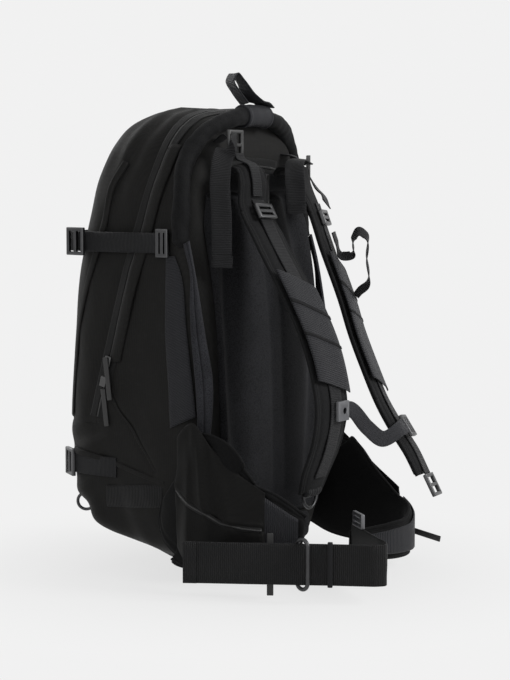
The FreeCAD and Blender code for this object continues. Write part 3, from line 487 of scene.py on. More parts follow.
def plated(name, level, warm, rough):
    """Metal: cast or brushed grain, cloudy oxide, and edges rubbed bright, by Pointiness."""
    paint = Paint(name, Specular_IOR_Level=0.5)
    where, _ = paint.place()
    grain = paint.cloud(where, 1400.0, 2.0)
    cloud = paint.cloud(where, 120.0, 4.0)
    edge = paint.node("NewGeometry", out="Pointiness").over(0.51, 0.58)
    colour = paint.blend(cloud, grey(level * 0.86, warm), grey(level * 1.12, warm))
    colour = paint.blend(edge * 0.35, colour, grey(min(level * 1.7, 235), warm * 0.5))
    return paint.finish(colour, cloud * 0.14 + grain * 0.075 + rough, grain, 0.00003, metal=1.0)


def zipped(name):
    """Zip tape: a herringbone that turns at its middle, and fuzz."""
    paint = Paint(name, Sheen_Weight=0.03, Specular_IOR_Level=0.15)
    u, v = paint.cloth_uv()
    where, _ = paint.place()
    herring = ((v + u.sum("ABSOLUTE")) * (TAU / 0.0016)).wave()
    fuzz = paint.cloud(where, 600.0, 2.0)
    shade = herring * 0.5 + fuzz * 0.5
    colour = paint.blend(shade, grey(17), grey(33))
    return paint.finish(colour, fuzz * 0.2 + 0.5, herring, 0.00015)


def coiled(name):
    """Zip coil: closely wound shiny turns along its length."""
    paint = Paint(name, Specular_IOR_Level=0.6)
    u, v = paint.cloth_uv()
    turns = ((v + u * 0.2) * (TAU / 0.0013)).wave()
    where, _ = paint.place()
    colour = paint.blend(turns, grey(8), grey(30))
    return paint.finish(colour, paint.cloud(where, 200.0) * 0.2 + 0.28, turns, 0.0004)


def corded(name, level):
    """Puller cord and moulded plastic: fine pitted grain, a broad bloom and pale rubbed edges."""
    paint = Paint(name, Specular_IOR_Level=0.45)
    where, _ = paint.place()
    pits = paint.cloud(where, 1100.0, 3.0)
    bloom = paint.cloud(where, 60.0, 4.0)
    edge = paint.node("NewGeometry", out="Pointiness").over(0.51, 0.6)
    colour = paint.blend(bloom, grey(level * 0.85), grey(level * 1.2))
    colour = paint.blend(edge * 0.5, colour, grey(level * 2.2))
    return paint.finish(colour, pits * 0.2 + bloom * 0.15 + 0.32, pits, 0.00005)


def mix_finishes(look):
    """All the pack's finishes, from the panel's levels: kind, level, warmth, then its own measures."""
    cloth, trim = look.cloth_level, look.trim_level
    for name, kind, *values in (
            ("shell cloth", woven, cloth, 0.02, 0.0016, 0.00022, 0.02),
            ("base cloth", woven, cloth * 0.8, 0.05, 0.0022, 0.0004, 0.03, 0.4),
            ("lining", woven, cloth * 1.2, 0.0, 0.0012, 0.0001, 0.1),
            ("foam", foamed, cloth * 1.2, -0.06, 0.0016, 0.0003),
            ("pad cloth", foamed, cloth * 0.9, -0.03, 0.0011, 0.0002),
            ("mesh cloth", foamed, cloth * 1.05, -0.05, 0.0024, 0.0006),
            ("webbing", ribbed, trim * 1.15, -0.08, 0.0019, 0.0005),
            ("strap webbing", ribbed, trim * 0.78, -0.05, 0.0021, 0.0005),
            ("belt webbing", ribbed, trim * 0.72, -0.02, 0.0024, 0.0006),
            ("ribbed panel", ribbed, trim * 1.05, -0.08, 0.0028, 0.0007),
            ("pocket cloth", woven, cloth * 0.58, 0.02, 0.0016, 0.00025, 0.02),
            ("wing cloth", foamed, cloth * 0.62, -0.02, 0.0012, 0.0002),
            # edge cloth: 1.7 times the cloth level, a painted highlight on the piped edge rolls
            ("edge cloth", foamed, cloth * 1.7, -0.08, 0.0011, 0.0002),
            ("zip tape", zipped), ("zip coil", coiled),
            ("moulded plastic", corded, 30), ("puller cord", corded, 34),
            ("stay aluminium", plated, 165, 0.0, 0.3),
            ("gunmetal", plated, look.metal_level, -0.02, 0.3),
            ("worn plate", plated, look.plate_level, -0.04, 0.42),
            ("slider metal", plated, 70, 0.0, 0.28)):
        FINISHES[name] = kind(name, *values)


FINISHES = {}


# --- the pack's own form ------------------------------------------------------------------------
# Each rib leans from the harness side to the front: harness y and z, front y and z, half width,
# corner radius on the harness side and at the front, and how far the foam is let in.

RIBS = np.array([
    (7.1, -20, 107.1, -20, 55.5, 26, 30, 0), (2.9, -8, 152.3, 14.8, 96, 36, 46, 4.8),
    (4.3, 14.8, 201.1, 41.5, 136.5, 34, 54, 12), (0, 51.8, 228, 75.1, 146, 30, 56, 12),
    (-1.9, 120.1, 237.5, 136, 150, 30, 58, 12), (0, 219.6, 237, 230.4, 150, 30, 58, 12),
    (6, 320.3, 231.1, 327.7, 148, 30, 58, 12), (20, 410.2, 219.4, 422.2, 142.2, 30, 58, 12),
    (35.9, 480.2, 199, 497.3, 131.3, 30, 58, 7.2), (44, 526.3, 170.9, 539.4, 114.8, 28, 52, 0),
    (47.6, 550.8, 140.4, 562.2, 88.5, 26, 42, 0), (57.1, 561, 120.2, 570.1, 57, 20, 28, 0),
])
ZIP_LEAN = 0.27
PANEL_FOOT = 172.15
STRAP_LEVEL = 401

RIB_AT = np.concatenate([[0], np.cumsum(np.hypot(np.diff(RIBS[:, 1] + RIBS[:, 3]) / 2, np.diff(RIBS[:, 4])))])
FORM = smooth(RIBS, 600, RIB_AT)
FORM_AT = np.linspace(RIB_AT[0], RIB_AT[-1], 600)


def rib(at):
    """The form's rib at distances along it, column by column."""
    return [np.interp(at, FORM_AT, FORM[:, k]) for k in range(8)]


def section_x(along, run, half, back, front):
    """Half width of a rounded rectangle at a distance along its side."""
    near = np.clip(back - along, 0, back)
    far = np.clip(along - (run - front), 0, front)
    at_back, at_front = near > 0, far > 0
    return (half - back * at_back - front * at_front + np.sqrt(np.maximum(back**2 - near**2, 0)) * at_back
            + np.sqrt(np.maximum(front**2 - far**2, 0)) * at_front)


def side_x(y, z):
    """The form's half width at drawn y and z: the leaning rib through that place, then its section."""
    at = np.interp(z, FORM[:, 1], FORM_AT)
    for _ in range(6):
        y0, z0, y1, z1 = rib(at)[:4]
        share = np.clip((y - y0) / np.maximum(y1 - y0, 1), 0, 1)
        at = np.interp(z - (z1 - z0) * share, FORM[:, 1], FORM_AT)
    y0, z0, y1, z1, half, back, front, _ = rib(at)
    run = np.hypot(y1 - y0, z1 - z0)
    return section_x(np.clip(share, 0, 1) * run, run, half, back, front)


def front_y(x, z):
    """The form's front at drawn x and z."""
    at = np.interp(z, FORM[:, 3], FORM_AT)
    _, _, y1, _, half, _, front, _ = rib(at)
    past = np.clip(np.abs(x) - (half - front), 0, front)
    return y1 - front + np.sqrt(np.maximum(front**2 - past**2, 0))


def back_y(x, z, let_in=1.0):
    """The form's harness side at drawn x and z, let in behind the foam by let_in shares."""
    at = np.interp(z, FORM[:, 1], FORM_AT)
    y0, _, _, _, half, back, _, let = rib(at)
    past = np.clip(np.abs(x) - (half - back), 0, back)
    return y0 + let * let_in + back - np.sqrt(np.maximum(back**2 - past**2, 0))


def split_y(z):
    """The zip's line in the side view: straight, leaning away from the wearer as it goes down."""
    return 75 + (530.3 - z) * ZIP_LEAN


def form_grid():
    """The pack's skin: rounded rectangles, rib by rib, with the harness side let in for the foam. Round a
    rib, x is half - r + r cos q or sin q at its four corners and runs straight between them."""
    rows, line, arc = 220, 62, 14
    y0, z0, y1, z1, half, back, front, let = [c[:, None] for c in rib(np.linspace(0, RIB_AT[-1], rows))]
    y0 = y0 + let
    run = np.hypot(y1 - y0, z1 - z0)
    q = np.linspace(0, 1, arc, endpoint=False)[None] * TAU / 4
    f = np.linspace(0, 1, line, endpoint=False)[None]
    ones = np.ones((rows, 1))
    x = [half - back + back * np.sin(q), ones * half * (f * 0 + 1), half - front + front * np.cos(q),
         (half - front) * (1 - 2 * f), -(half - front) - front * np.sin(q), -half * (f * 0 + 1),
         -(half - back) - back * np.cos(q), -(half - back) * (1 - 2 * f)]
    a = [back - back * np.cos(q), back + (run - back - front) * f, run - front + front * np.sin(q),
         run * (f * 0 + 1), run - front + front * np.cos(q), run - front - (run - back - front) * f,
         back - back * np.sin(q), 0 * f * run]
    x, a = np.concatenate([c * ones for c in x], 1), np.concatenate([c * ones for c in a], 1)
    return np.stack([x, y0 + (y1 - y0) * a / run, z0 + (z1 - z0) * a / run], -1)


def way(points, y, z):
    """Shortest distance from drawn y and z to a line of straight runs in the side view."""
    best = np.full(np.broadcast(y, z).shape, 1e9)
    for (ya, za), (yb, zb) in zip(points[:-1], points[1:]):
        dy, dz = yb - ya, zb - za
        t = np.clip(((y - ya) * dy + (z - za) * dz) / (dy * dy + dz * dz), 0, 1)
        best = np.minimum(best, np.hypot(y - ya - dy * t, z - za - dz * t))
    return best


PANEL_SEAM = [(118, 540), (136, 500), (152, 472), (166, 416), (176, 385), (190, 346), (204, 300), (212, 250),
              (219, 205), (222, 178)]
SIDE_SEAM = [(152, 216), (138, 192), (118, 172), (103, 150), (92, 136), (80, 118)]


def folds(x, y, z):
    """How far the shell's cloth stands off its form, in millimetres: soft waves that run down the
    sides, ridges along the crown, sunken seams, and slack low down."""
    side = step(90, 140, np.abs(x))
    slack = 1.15 + 1.5 * step(120, 60, z) + 0.5 * step(400, 500, z)
    cloth = slack * ripple(5, y / 95 + z / 600, z / 260, x / 260, waves=6)
    cloth = cloth + 0.45 * slack * ripple(9, y / 40 - z / 300, z / 120, x / 90, waves=7)
    crown = step(430, 520, z) * 1.6 * ripple(21, (y + 0.35 * z) / 38, x / 230, waves=5)
    gap = y - split_y(z)
    seam = -2.4 * hump(14, 7, gap) * side * step(150, 200, z) + 1.9 * hump(-14, 13, gap) * side * step(205, 240, z)
    seam = seam - 1.8 * hump(0, 3, way(PANEL_SEAM, y, z)) * side - 1.8 * hump(0, 3, way(SIDE_SEAM, y, z)) * side
    seam = seam - 1.2 * hump(172, 3, z) * step(150, 175, y)
    fan = np.arctan2(z - 385, y - 52)
    cloth = cloth + 2.4 * ripple(23, fan * 1.5, np.hypot(z - 385, y - 52) / 420, waves=4) * step(10, 80, z - 400)
    cloth = cloth + 1.8 * ripple(24, (y * 0.35 + z) / 52, y / 150, waves=3) * step(205, 150, z) * step(110, 165, y)
    waist = -2.5 * hump(STRAP_LEVEL, 26, z) * step(60, 100, y) * step(235, 190, y)
    return cloth * 0.9 + crown + seam + waist


def shell_cloth():
    """The shell and the opening front panel, cut from one skin along the zip and the panel's foot."""
    grid = form_grid()
    out = normals(drawn(grid))
    x, y, z = grid[..., 0], grid[..., 1], grid[..., 2]
    out = out * np.sign(np.sum(out * (grid - [0, 120, 280]), -1).mean())
    lift = folds(x, y, z) * step(-20, 0, z) * step(-4, 8, y - back_y(x, z))
    grid = grid + out * lift[..., None]
    foot, crown = grid[0], grid[-1]
    low = np.stack([foot * k + foot.mean(0) * (1 - k) for k in (0.1, 0.6)])
    high = np.stack([crown * k + (crown.mean(0) + [0, 0, 2.2]) * (1 - k) for k in (0.8, 0.45, 0.1)])
    rings = drawn(np.concatenate([low, grid, high]))
    skin = loft("skin", rings)
    cloth = bmesh.new()
    cloth.from_mesh(skin.data)
    zip_at, foot_at = drawn([0, split_y(0), 0]), drawn([0, 0, PANEL_FOOT])
    for place, facing in ((zip_at, (0, 1, ZIP_LEAN)), (foot_at, (0, 0, 1))):
        bmesh.ops.bisect_plane(cloth, geom=cloth.verts[:] + cloth.edges[:] + cloth.faces[:], dist=1e-6,
                               plane_co=place, plane_no=facing)
    cloth.to_mesh(skin.data)
    cloth.free()
    for name, node, body, opening in (("shell_cloth", "main_shell", "pack", False),
                                      ("front_cloth", "front_panel", "front_panel", True)):
        part = bmesh.new()
        part.from_mesh(skin.data)
        middles = [(f, f.calc_center_median()) for f in part.faces]
        other = [f for f, c in middles
                 if (c.z > foot_at[2] and (c.y - zip_at[1]) + ZIP_LEAN * (c.z - zip_at[2]) > 0) != opening]
        bmesh.ops.delete(part, geom=other, context="FACES")
        mesh = bpy.data.meshes.new(name)
        part.to_mesh(mesh)
        part.free()
        mesh.shade_smooth()
        settle(thick(linked(name, mesh), 0.003), body, "shell cloth", node)
    bpy.data.objects.remove(skin)


# --- strips on the side ---------------------------------------------------------------------------

def on_side(y, z, side, lift):
    """Places lift millimetres off the shell's side at drawn y and z."""
    e = 2.0
    x = side_x(y, z)
    slope = np.stack([np.ones_like(x), -(side_x(y + e, z) - side_x(y - e, z)) / (2 * e),
                      -(side_x(y, z + e) - side_x(y, z - e)) / (2 * e)], -1)
    n = unit(slope)
    x = x + np.maximum(folds(x, y, z), -0.6) * step(-4, 8, y - back_y(x, z))
    place = np.stack([x, y + 0 * x, z + 0 * x], -1) + n * np.broadcast_to(lift, x.shape)[..., None]
    return drawn(place * [side, 1, 1])


def side_strip(name, left_edge, right_edge, crown, rows=70, cols=14, side=-1.0, edge=0.5, lift=0.5):
    """Cloth on the shell's side between two lines: straight across, raised by crown (1 - t^4) over it."""
    a, b = (smooth(np.pad(line, ((0, 0), (0, 1))), rows) for line in (left_edge, right_edge))
    t = np.linspace(0, 1, cols)[None]
    y = a[:, :1] * (1 - t) + b[:, :1] * t
    z = a[:, 1:2] * (1 - t) + b[:, 1:2] * t
    rise = lift + crown * (1 - (2 * t - 1) ** 4) + edge * (np.abs(2 * t - 1) < 0.99)
    grid = on_side(y, z, side, np.broadcast_to(rise, y.shape))
    width = lengths(grid, 1)
    uv = measure(width - width[:, -1:] / 2, lengths(grid, 0)[:, cols // 2:cols // 2 + 1])
    turn = slice(None, None, 1 if side < 0 else -1)
    return thick(patch(name, grid[:, turn], uv[:, turn]), 0.0012)


RIBBED_STRIP = ([(65, 385), (64, 300), (60, 230), (57, 174)], [(54, 385), (45, 367), (34, 300), (26, 240), (20, 190)])
ROLL_OUTSIDE = [(41, 400), (31, 367), (28.6, 324), (25.5, 282), (21, 239), (18, 196), (17, 164)]
ROLL_STITCHED = [(38, 402), (29, 367), (23.6, 324), (18.8, 282), (13.6, 239), (11.6, 196), (11.8, 164)]
ROLL_INSIDE = [(36, 404), (27, 367), (18.4, 324), (11.6, 282), (5.8, 239), (4.8, 196), (6, 164)]
SIDE_BAND = ([(157, 94), (110, 99), (69, 103)], [(158, 66), (110, 70), (69, 74)])
FLAP_HEM = ([(212, 140), (150, 129), (109, 118), (66, 108)], [(212, 131), (150, 121), (109, 111), (66, 101)])
FLAP_LEVELS = (252, 300, 360, 420, 480, 520)


def side_cloth():
    """The ribbed strip, the rolled edge beside the foam, the loop's band, the flap's hem, the felled seams
    and the flap over the zip, on both sides."""
    beside = [(y - 0.8, z) for y, z in ROLL_STITCHED]
    for name, side in SIDES:
        ribbed_strip = side_strip("ribbed_strip_" + name, *RIBBED_STRIP, 1.2, side=side)
        rolls = [side_strip("edge_roll_%s_%d" % (name, k), *lines, 2.6, cols=12, side=side)
                 for k, lines in enumerate(((ROLL_OUTSIDE, ROLL_STITCHED), (beside, ROLL_INSIDE)))]
        roll = joined("edge_roll_" + name, rolls)
        loop = side_strip("side_band_" + name, *SIDE_BAND, 1.0, side=side, lift=1.0)
        hem = side_strip("flap_hem_" + name, *FLAP_HEM, 1.6, side=side)
        for k, (line, body, wide) in enumerate(((PANEL_SEAM[1:], "front_panel", 9), (SIDE_SEAM, "pack", 8))):
            inner, outer = ([(y + wide * h, z + wide * h * 0.4) for y, z in line] for h in (-0.5, 0.5))
            seam = side_strip("felled_seam_%s_%d" % (name, k), inner, outer, 0.9, 90, 10, side, 0.3, 0.9)
            settle(seam, body, "shell cloth")
        inner, outer = ([(split_y(z) + off, z) for z in FLAP_LEVELS] for off in (-17, -3))
        flap = side_strip("zip_flap_" + name, inner, outer, 2.2, side=side)
        settle(ribbed_strip, "pack", "webbing", "side_strips")
        # the edge rolls take the lighter edge cloth, a painted highlight along the piping
        settle(roll, "pack", "edge cloth", "edge_strips")
        settle(loop, "pack", "belt webbing", "side_bands")
        settle(hem, "pack", "shell cloth")
        settle(flap, "pack", "shell cloth")


def zip_line(side, shift, lift, rows=150):
    """Places along the zip from the panel's foot to the crown's middle: each rib cut by the slope."""
    at = np.interp(np.linspace(172, 561, rows), FORM[:, 1], FORM_AT)
    y0, z0, y1, z1, half, back, front, _ = rib(at)
    share = (split_y(z0) + shift - y0) / ((y1 - y0) + (z1 - z0) * ZIP_LEAN)
    run = np.hypot(y1 - y0, z1 - z0)
    x = section_x(np.clip(share, 0, 1) * run, run, half, back, front)
    y, z = y0 + (y1 - y0) * share, z0 + (z1 - z0) * share
    low = z < 545
    fold = np.clip(folds(x, y, z), -1, 0.4 + 1.6 * step(260, 320, z))
    x = np.where(low, side_x(y, z), x) + lift + np.where(low, fold, 0)
    over = np.linspace(1, 0, 26)[1:]
    x = np.concatenate([x, x[-1] * over])
    y = np.concatenate([y, np.full(25, y[-1])])
    z = np.concatenate([z, z[-1] + (lift + 1.2) * np.sin((1 - over) * TAU / 4)])
    return np.stack([x * side, y, z], -1)


def zips():
    """Zip tapes each side of the seam, and the coil that lies between them, over the crown."""
    for name, body, shift in (("zip_tape", "pack", -6.0), ("panel_zip_tape", "front_panel", 6.3)):
        halves = []
        for side in (-1.0, 1.0):
            left, right = zip_line(side, shift - 5.4, 1.0), zip_line(side, shift + 5.4, 1.0)
            t = np.linspace(0, 1, 7)[None, :, None]
            grid = drawn(left[:, None] * (1 - t) + right[:, None] * t)
            uv = measure(lengths(grid, 1) - 0.0054, lengths(grid, 0)[:, 3:4])
            turn = slice(None, None, 1 if side < 0 else -1)
            halves.append(thick(patch("tape", grid[:, turn], uv[:, turn]), 0.0011))
        settle(joined(name + "_cloth", halves), body, "zip tape", name)
    coils = [tube("coil", drawn(zip_line(side, -1.1, 1.7)), 0.0012, sides=8) for side in (-1.0, 1.0)]
    settle(joined("zip_coil", coils), "pack", "zip coil")


# --- back panel, lumbar pad, yoke -------------------------------------------------------------------

def back_foam():
    """The moulded back: the form's harness side plus a raised middle, a sunken channel exp(-(d/15)^2) each
    side, and an edge that rolls in over the last 7 parts in 100."""
    v = np.linspace(0, 1, 190)[:, None]
    u = np.linspace(-1, 1, 150)[None]
    z = 46 + (462 - 46) * v + 0 * u
    half = 112 - 14 * step(0.9, 1, v) - 8 * step(0.08, 0, v)
    x = half * np.sin(u * TAU / 4 * 0.985) / math.sin(TAU / 4 * 0.985)
    face = back_y(x, z, 0.0)
    valley = 96 - 14 * step(0.45, 0.05, v) - 18 * step(0.6, 0.95, v)
    depth = 7.5 * hump(0, 15, np.abs(x) - valley) * step(0.0, 0.08, v)
    middle = -5.0 * step(80, 30, np.abs(x)) * step(0, 0.1, v) * step(1, 0.86, v)
    spine = 1.2 * hump(0, 6, np.abs(x) - 13) * step(0.06, 0.12, v) * step(0.95, 0.85, v)
    edge = 9.0 * step(0.93, 1.0, np.abs(u)) + 8 * step(0.975, 1.0, v) + 8 * step(0.02, 0, v)
    soft = 0.5 * ripple(31, x / 90, z / 160, waves=5)
    outer = np.stack([x, face + depth + middle + spine + edge + soft, z], -1)
    inner = np.stack([x, back_y(x, z, 1.0) - 0.6, z], -1)
    outer[..., 1] = np.minimum(outer[..., 1], inner[..., 1] - 0.4)
    foam = envelope("back_foam_panel", drawn(outer[:, ::-1]), drawn(inner[:, ::-1]))
    stuffed(foam, 0.8, "pack", "foam", "back_panel")


def loft_open(name, rings):
    """Squares between rings of places, open at both ends."""
    rows, cols = rings.shape[:2]
    return make(name, rings.reshape(-1, 3), quads(rows, cols, True), np.zeros((rows * cols, 2)), closed=False)


def sealed(obj):
    """Closes the seams between a piece's sheets and turns its faces outwards."""
    outward(obj.data, 2e-5)
    obj.data.shade_smooth()
    return obj


def envelope(name, outer, inner):
    """A closed piece between two grids of places: its face, its back and a wall round their edges."""
    edges = [np.concatenate([g[0], g[1:-1, -1], g[-1, ::-1], g[1:-1, 0][::-1]]) for g in (outer, inner)]
    wall = loft_open("wall", np.stack(edges))
    return sealed(joined(name, [patch("face", outer), patch("back", inner), wall]))


def cushion(name, centre, half_w, half_h, depth, power, crown):
    """A crowned closed pad: a square rounded by power, its front face domed, its back nearly flat."""
    a = turns(64)
    r = np.linspace(0, 1, 48)[:, None]
    lobe = (np.abs(np.cos(a)) ** power + np.abs(np.sin(a)) ** power) ** (-1 / power)
    right, out = np.array([1.0, 0, 0]), np.array([0, 1.0, 0])
    rings = []
    for face in (1.0, -1.0):
        round_off = np.sqrt(np.maximum(1 - r**6, 0))
        h = face * depth / 2 * (round_off * ((1 - crown) + crown * (1 - r**2)) if face > 0 else round_off * 0.9)
        shape = (np.array(centre, float) + right * (half_w * r * lobe * np.cos(a))[..., None]
                 + UP * (half_h * r * lobe * np.sin(a))[..., None]
                 + out * (h + 0 * a)[..., None])
        rings.append(shape if face > 0 else shape[::-1][1:])
    return loft(name, drawn(np.concatenate(rings)))


def back_pads():
    """The yoke and the lumbar pad, and the back zip that shows between the yoke and the rim."""
    x = np.linspace(-72, 66, 60)
    line = np.stack([x, back_y(x, 495 + 0 * x) - 1.6, 495 - 5 * (x / 70) ** 2], -1)
    settle(band("back_zip_tape", line, (0, 0, 1), 22, 1.4, 80), "pack", "zip tape")
    settle(tube("back_zip_coil", drawn(line - [0, 1.3, 0]), 0.0013, 8), "pack", "zip coil")
    yoke = cushion("yoke_plate", (0, 28.5, 474.3), 95, 12, 12, 8, 0.25)
    stuffed(yoke, 0.7, "pack", "foam", "shoulder_yoke")
    lumbar = cushion("lumbar_cushion", (0, 6, 26), 91, 19.5, 13, 6, 0.45)
    stuffed(lumbar, 0.7, "pack", "mesh cloth", "lumbar_pad")


# --- padded and sewn pieces --------------------------------------------------------------------------

def swept(name, places, across, width, depth, count, cols, square, crown, round_end, relief):
    """A padded length: a rounded section, w/2 cos^square across and d/2 sin^0.8 out, crowned on its outer
    face, carried along a curve and rounded off at both ends. relief(across -1..1, along 0..1) lifts the face."""
    path, side, out, wide, deep = carried(places, across, count, width, depth)
    a = turns(cols)
    c, s = np.cos(a), np.sin(a)
    u = np.sign(c) * np.abs(c) ** square
    h = np.sign(s) * np.abs(s) ** 0.8
    run = lengths(path[:, None], 0)
    near = np.minimum(run, run[-1] - run)
    end = np.sqrt(np.clip(1 - (1 - np.clip(near / round_end, 0, 1)) ** 2, 0.002, 1))
    bulge = np.where(s > 0, (1 - crown) + crown * (1 - u**2), 0.85)
    rise = h * bulge * deep / 2 * end
    rise = rise + np.where(s > 0.25, relief(u, run / run[-1]) / 1000, 0.0) * end
    trim = wide / 2 - (1 - end) * round_end * 0.8
    rings = path[:, None] + side[:, None] * (u * trim)[..., None] + out[:, None] * rise[..., None]
    return loft(name, rings, measure(u * wide / 2, run))


def edge_rolls(places, across, width, offset, radius):
    """A thin roll along each edge of a padded length, offset of its half width aside."""
    path, side, _, wide = carried(places, across, 150, width)
    return [tube("roll", path + side * wide / 2 * k, radius, 10) for k in (-offset, offset)]


RIM = [(-138.8, 48, 394.9), (-137, 50, 450.1), (-124, 53, 496.2), (-98, 47, 532), (-55, 37, 551.9), (0, 33, 558.8),
       (55, 37, 551.9), (98, 47, 532), (124, 53, 496.2), (137, 50, 450.1), (138.8, 48, 394.9)]


def rim():
    """The padded rim: an 11 mm roll carried along RIM with puckers between its stitches, its piping, and the
    14 mm sleeve on its middle."""
    line = smooth(RIM, 260)
    along = unit(np.gradient(line, axis=0))
    ref = unit(np.cross(along, np.broadcast_to([0, -1.0, 0], along.shape)))
    out = np.cross(ref, along)
    a = turns(40)
    run = lengths(line[:, None], 0)
    r = 11.0 + 0.9 * ripple(41, run / 90, a / 3, waves=5) + 0.45 * ripple(42, run / 17, a / 4, waves=6)
    r = r * np.sqrt(np.clip(np.minimum(run, run[-1] - run) / 8, 0.04, 1))
    rings = line[:, None] + (ref[:, None] * np.cos(a)[..., None] + out[:, None] * np.sin(a)[..., None]) * r[..., None]
    roll = loft("rim_cloth", drawn(rings), measure(a * 0.0115, run / 1000))
    piping = tube("rim_piping", drawn(line - out * 11.2 + ref * 2.0)[6:-6], 0.0016, 10)
    stuffed(joined("rim_padding", [roll, piping]), 0.9, "pack", "pad cloth", "rim_roll")
    x = np.linspace(-27, 27, 60)[:, None]
    middle = np.stack([np.interp(x[:, 0], line[:, 0], line[:, k]) for k in range(3)], -1)
    r = 14.0 + 1.1 * np.maximum(hump(-24.5, 2.2, x), hump(24.5, 2.2, x)) - 1.6 * (np.abs(x) > 26.4)
    r = r + 0.25 * ripple(43, x / 20, a / 4)
    rings = middle[:, None] + np.stack([0 * r, np.cos(a) * r, np.sin(a) * r], -1)
    settle(loft("rim_sleeve_cloth", drawn(rings), measure(a * 0.014, x / 1000)), "pack", "webbing", "rim_sleeve")


# Each pad's stations from the yoke down: place, turn about the upright in degrees, share of its width.
PADS = {
    "left": [(-62, 16, 484, 0, 0.80), (-62, 9, 492, 0, 0.80), (-62, 0, 491, 0, 0.80), (-62, -6, 478, 0, 0.84),
             (-64, -8, 450, 0, 0.88), (-67, -34, 405, 0, 0.96), (-69, -73, 344, 0, 1), (-71, -105, 285, 0, 1),
             (-73, -121, 240, 0, 1), (-75, -128, 200, 0, 1), (-76.5, -122, 160, 0, 0.95), (-78, -107, 120, 0, 0.85),
             (-79, -100, 98, 0, 0.70)],
    "right": [(49, 16, 484, 0, 0.80), (49, 9, 492, 0, 0.80), (49, 0, 491, 3, 0.80), (49, -7, 476, 12, 0.84),
              (51, -23, 445, 20, 0.90), (54, -43, 390, 22, 0.96), (58.5, -68, 325, 22, 1), (61, -81, 284, 22, 1),
              (64, -97, 243, 22, 1), (67, -117, 198, 22, 0.98), (69, -141, 160, 20, 0.92), (71, -158, 136, 18, 0.85),
              (73, -173, 107, 16, 0.70)],
}


def pad_stations(name, first=0, last=None):
    """Places, width directions and widths of a shoulder pad, turned about the upright axis."""
    rows = np.array(PADS[name][first:last], float)
    turn = np.radians(rows[:, 3])
    return rows[:, :3], np.stack([np.cos(turn), np.sin(turn), 0 * turn], -1), rows[:, 4:5] * 72


def pad_relief(u, v):
    """Seams and quilting on the pad: two slanting seams, sewn edges, and a soft puckered face."""
    slant = 1.6 * hump(0, 0.012, v - 0.52 - 0.035 * u) + 1.6 * hump(0, 0.012, v - 0.60 - 0.05 * u)
    edge = 1.0 * hump(0.80, 0.05, np.abs(u))
    return 0.35 * ripple(51, u * 1.4, v * 9, waves=6) - slant - edge


def shoulder_pads():
    """Shoulder pads with beaded edges, their broad ribbed panel and the webbing down each face."""
    for name, _ in SIDES:
        body = "shoulder_" + name
        places, across, width = pad_stations(name)
        pad = swept("pad", places, across, width - 2, 12.5, 150, 72, 0.36, 0.5, 0.004, pad_relief)
        rolls = edge_rolls(places, across, width, 0.95, 0.0023)
        stuffed(joined("pad_cushion_" + name, [pad, *rolls]), 0.75, body, "pad cloth", "shoulder_pad_" + name)
        first, last = (5.85, 8.3) if name == "left" else (5.3, 8.6)
        panel = pad_patch("pad_panel_" + name, name, first, last, 0.2, 0.93, 9.4)
        seams = [pad_patch("seam", name, k, k + 0.06, 0.2, 0.95, 10.2) for k in (first + 0.55, first + 1.2)]
        settle(panel, body, "ribbed panel")
        settle(joined("pad_seams_" + name, seams), body, "pad cloth")
        last = None if name == "right" else -1
        places, across, width = pad_stations(name, 4, last)
        out = frames(np.asarray(places, float), across)[2]
        face = places + out * 7.2
        if name == "right":
            run = unit(face[-1:] - face[-2:-1])
            face, across = np.concatenate([face, face[-1:] + run * 2.2]), np.concatenate([across, across[-1:]])
        webbing = band("pad_webbing_" + name, face, across, 25, 1.8, 140, 0.15, 61)
        settle(webbing, body, "strap webbing", "strap_webbing_" + name)
    x = np.linspace(-95.5, -62.5, 40)
    roll = np.stack([x, 0 * x - 101, 0 * x + 101], -1)
    r = 7.4 * np.sqrt(np.clip(np.minimum(x - x[0], x[-1] - x) / 2.0, 0.1, 1)) + 0.3 * np.sin(x * 1.1)
    settle(tube("pad_end_roll", drawn(roll), r / 1000, 28), "shoulder_left", "strap webbing")


def pad_patch(label, name, first, last, slant, share, lift, rows=90, cols=26):
    """Cloth laid over a shoulder pad between two station numbers, its ends slanting, its sides turned down."""
    places, across, width = pad_stations(name)
    knots = np.arange(len(places), dtype=float)
    dense = smooth(np.concatenate([places, across, width], axis=1), 600, knots)
    path = dense[:, :3]
    _, side, out = frames(path, dense[:, 3:6])
    at = np.linspace(0, knots[-1], 600)
    u = np.linspace(-1, 1, cols)[None]
    k = np.linspace(first, last, rows)[:, None] + slant * u
    pick = lambda a: np.stack([np.interp(k, at, a[:, i]) for i in range(a.shape[1])], -1)
    wide = np.interp(k, at, dense[:, 6]) / 2 * share
    rise = lift - 2.6 * np.abs(u) ** 5
    grid = drawn(pick(path) + pick(side) * (u * wide)[..., None] + pick(out) * (rise + 0 * k)[..., None])
    uv = measure(u * wide / 1000, lengths(grid, 0)[:, cols // 2:cols // 2 + 1])
    return thick(patch(label, grid, uv), 0.0016)


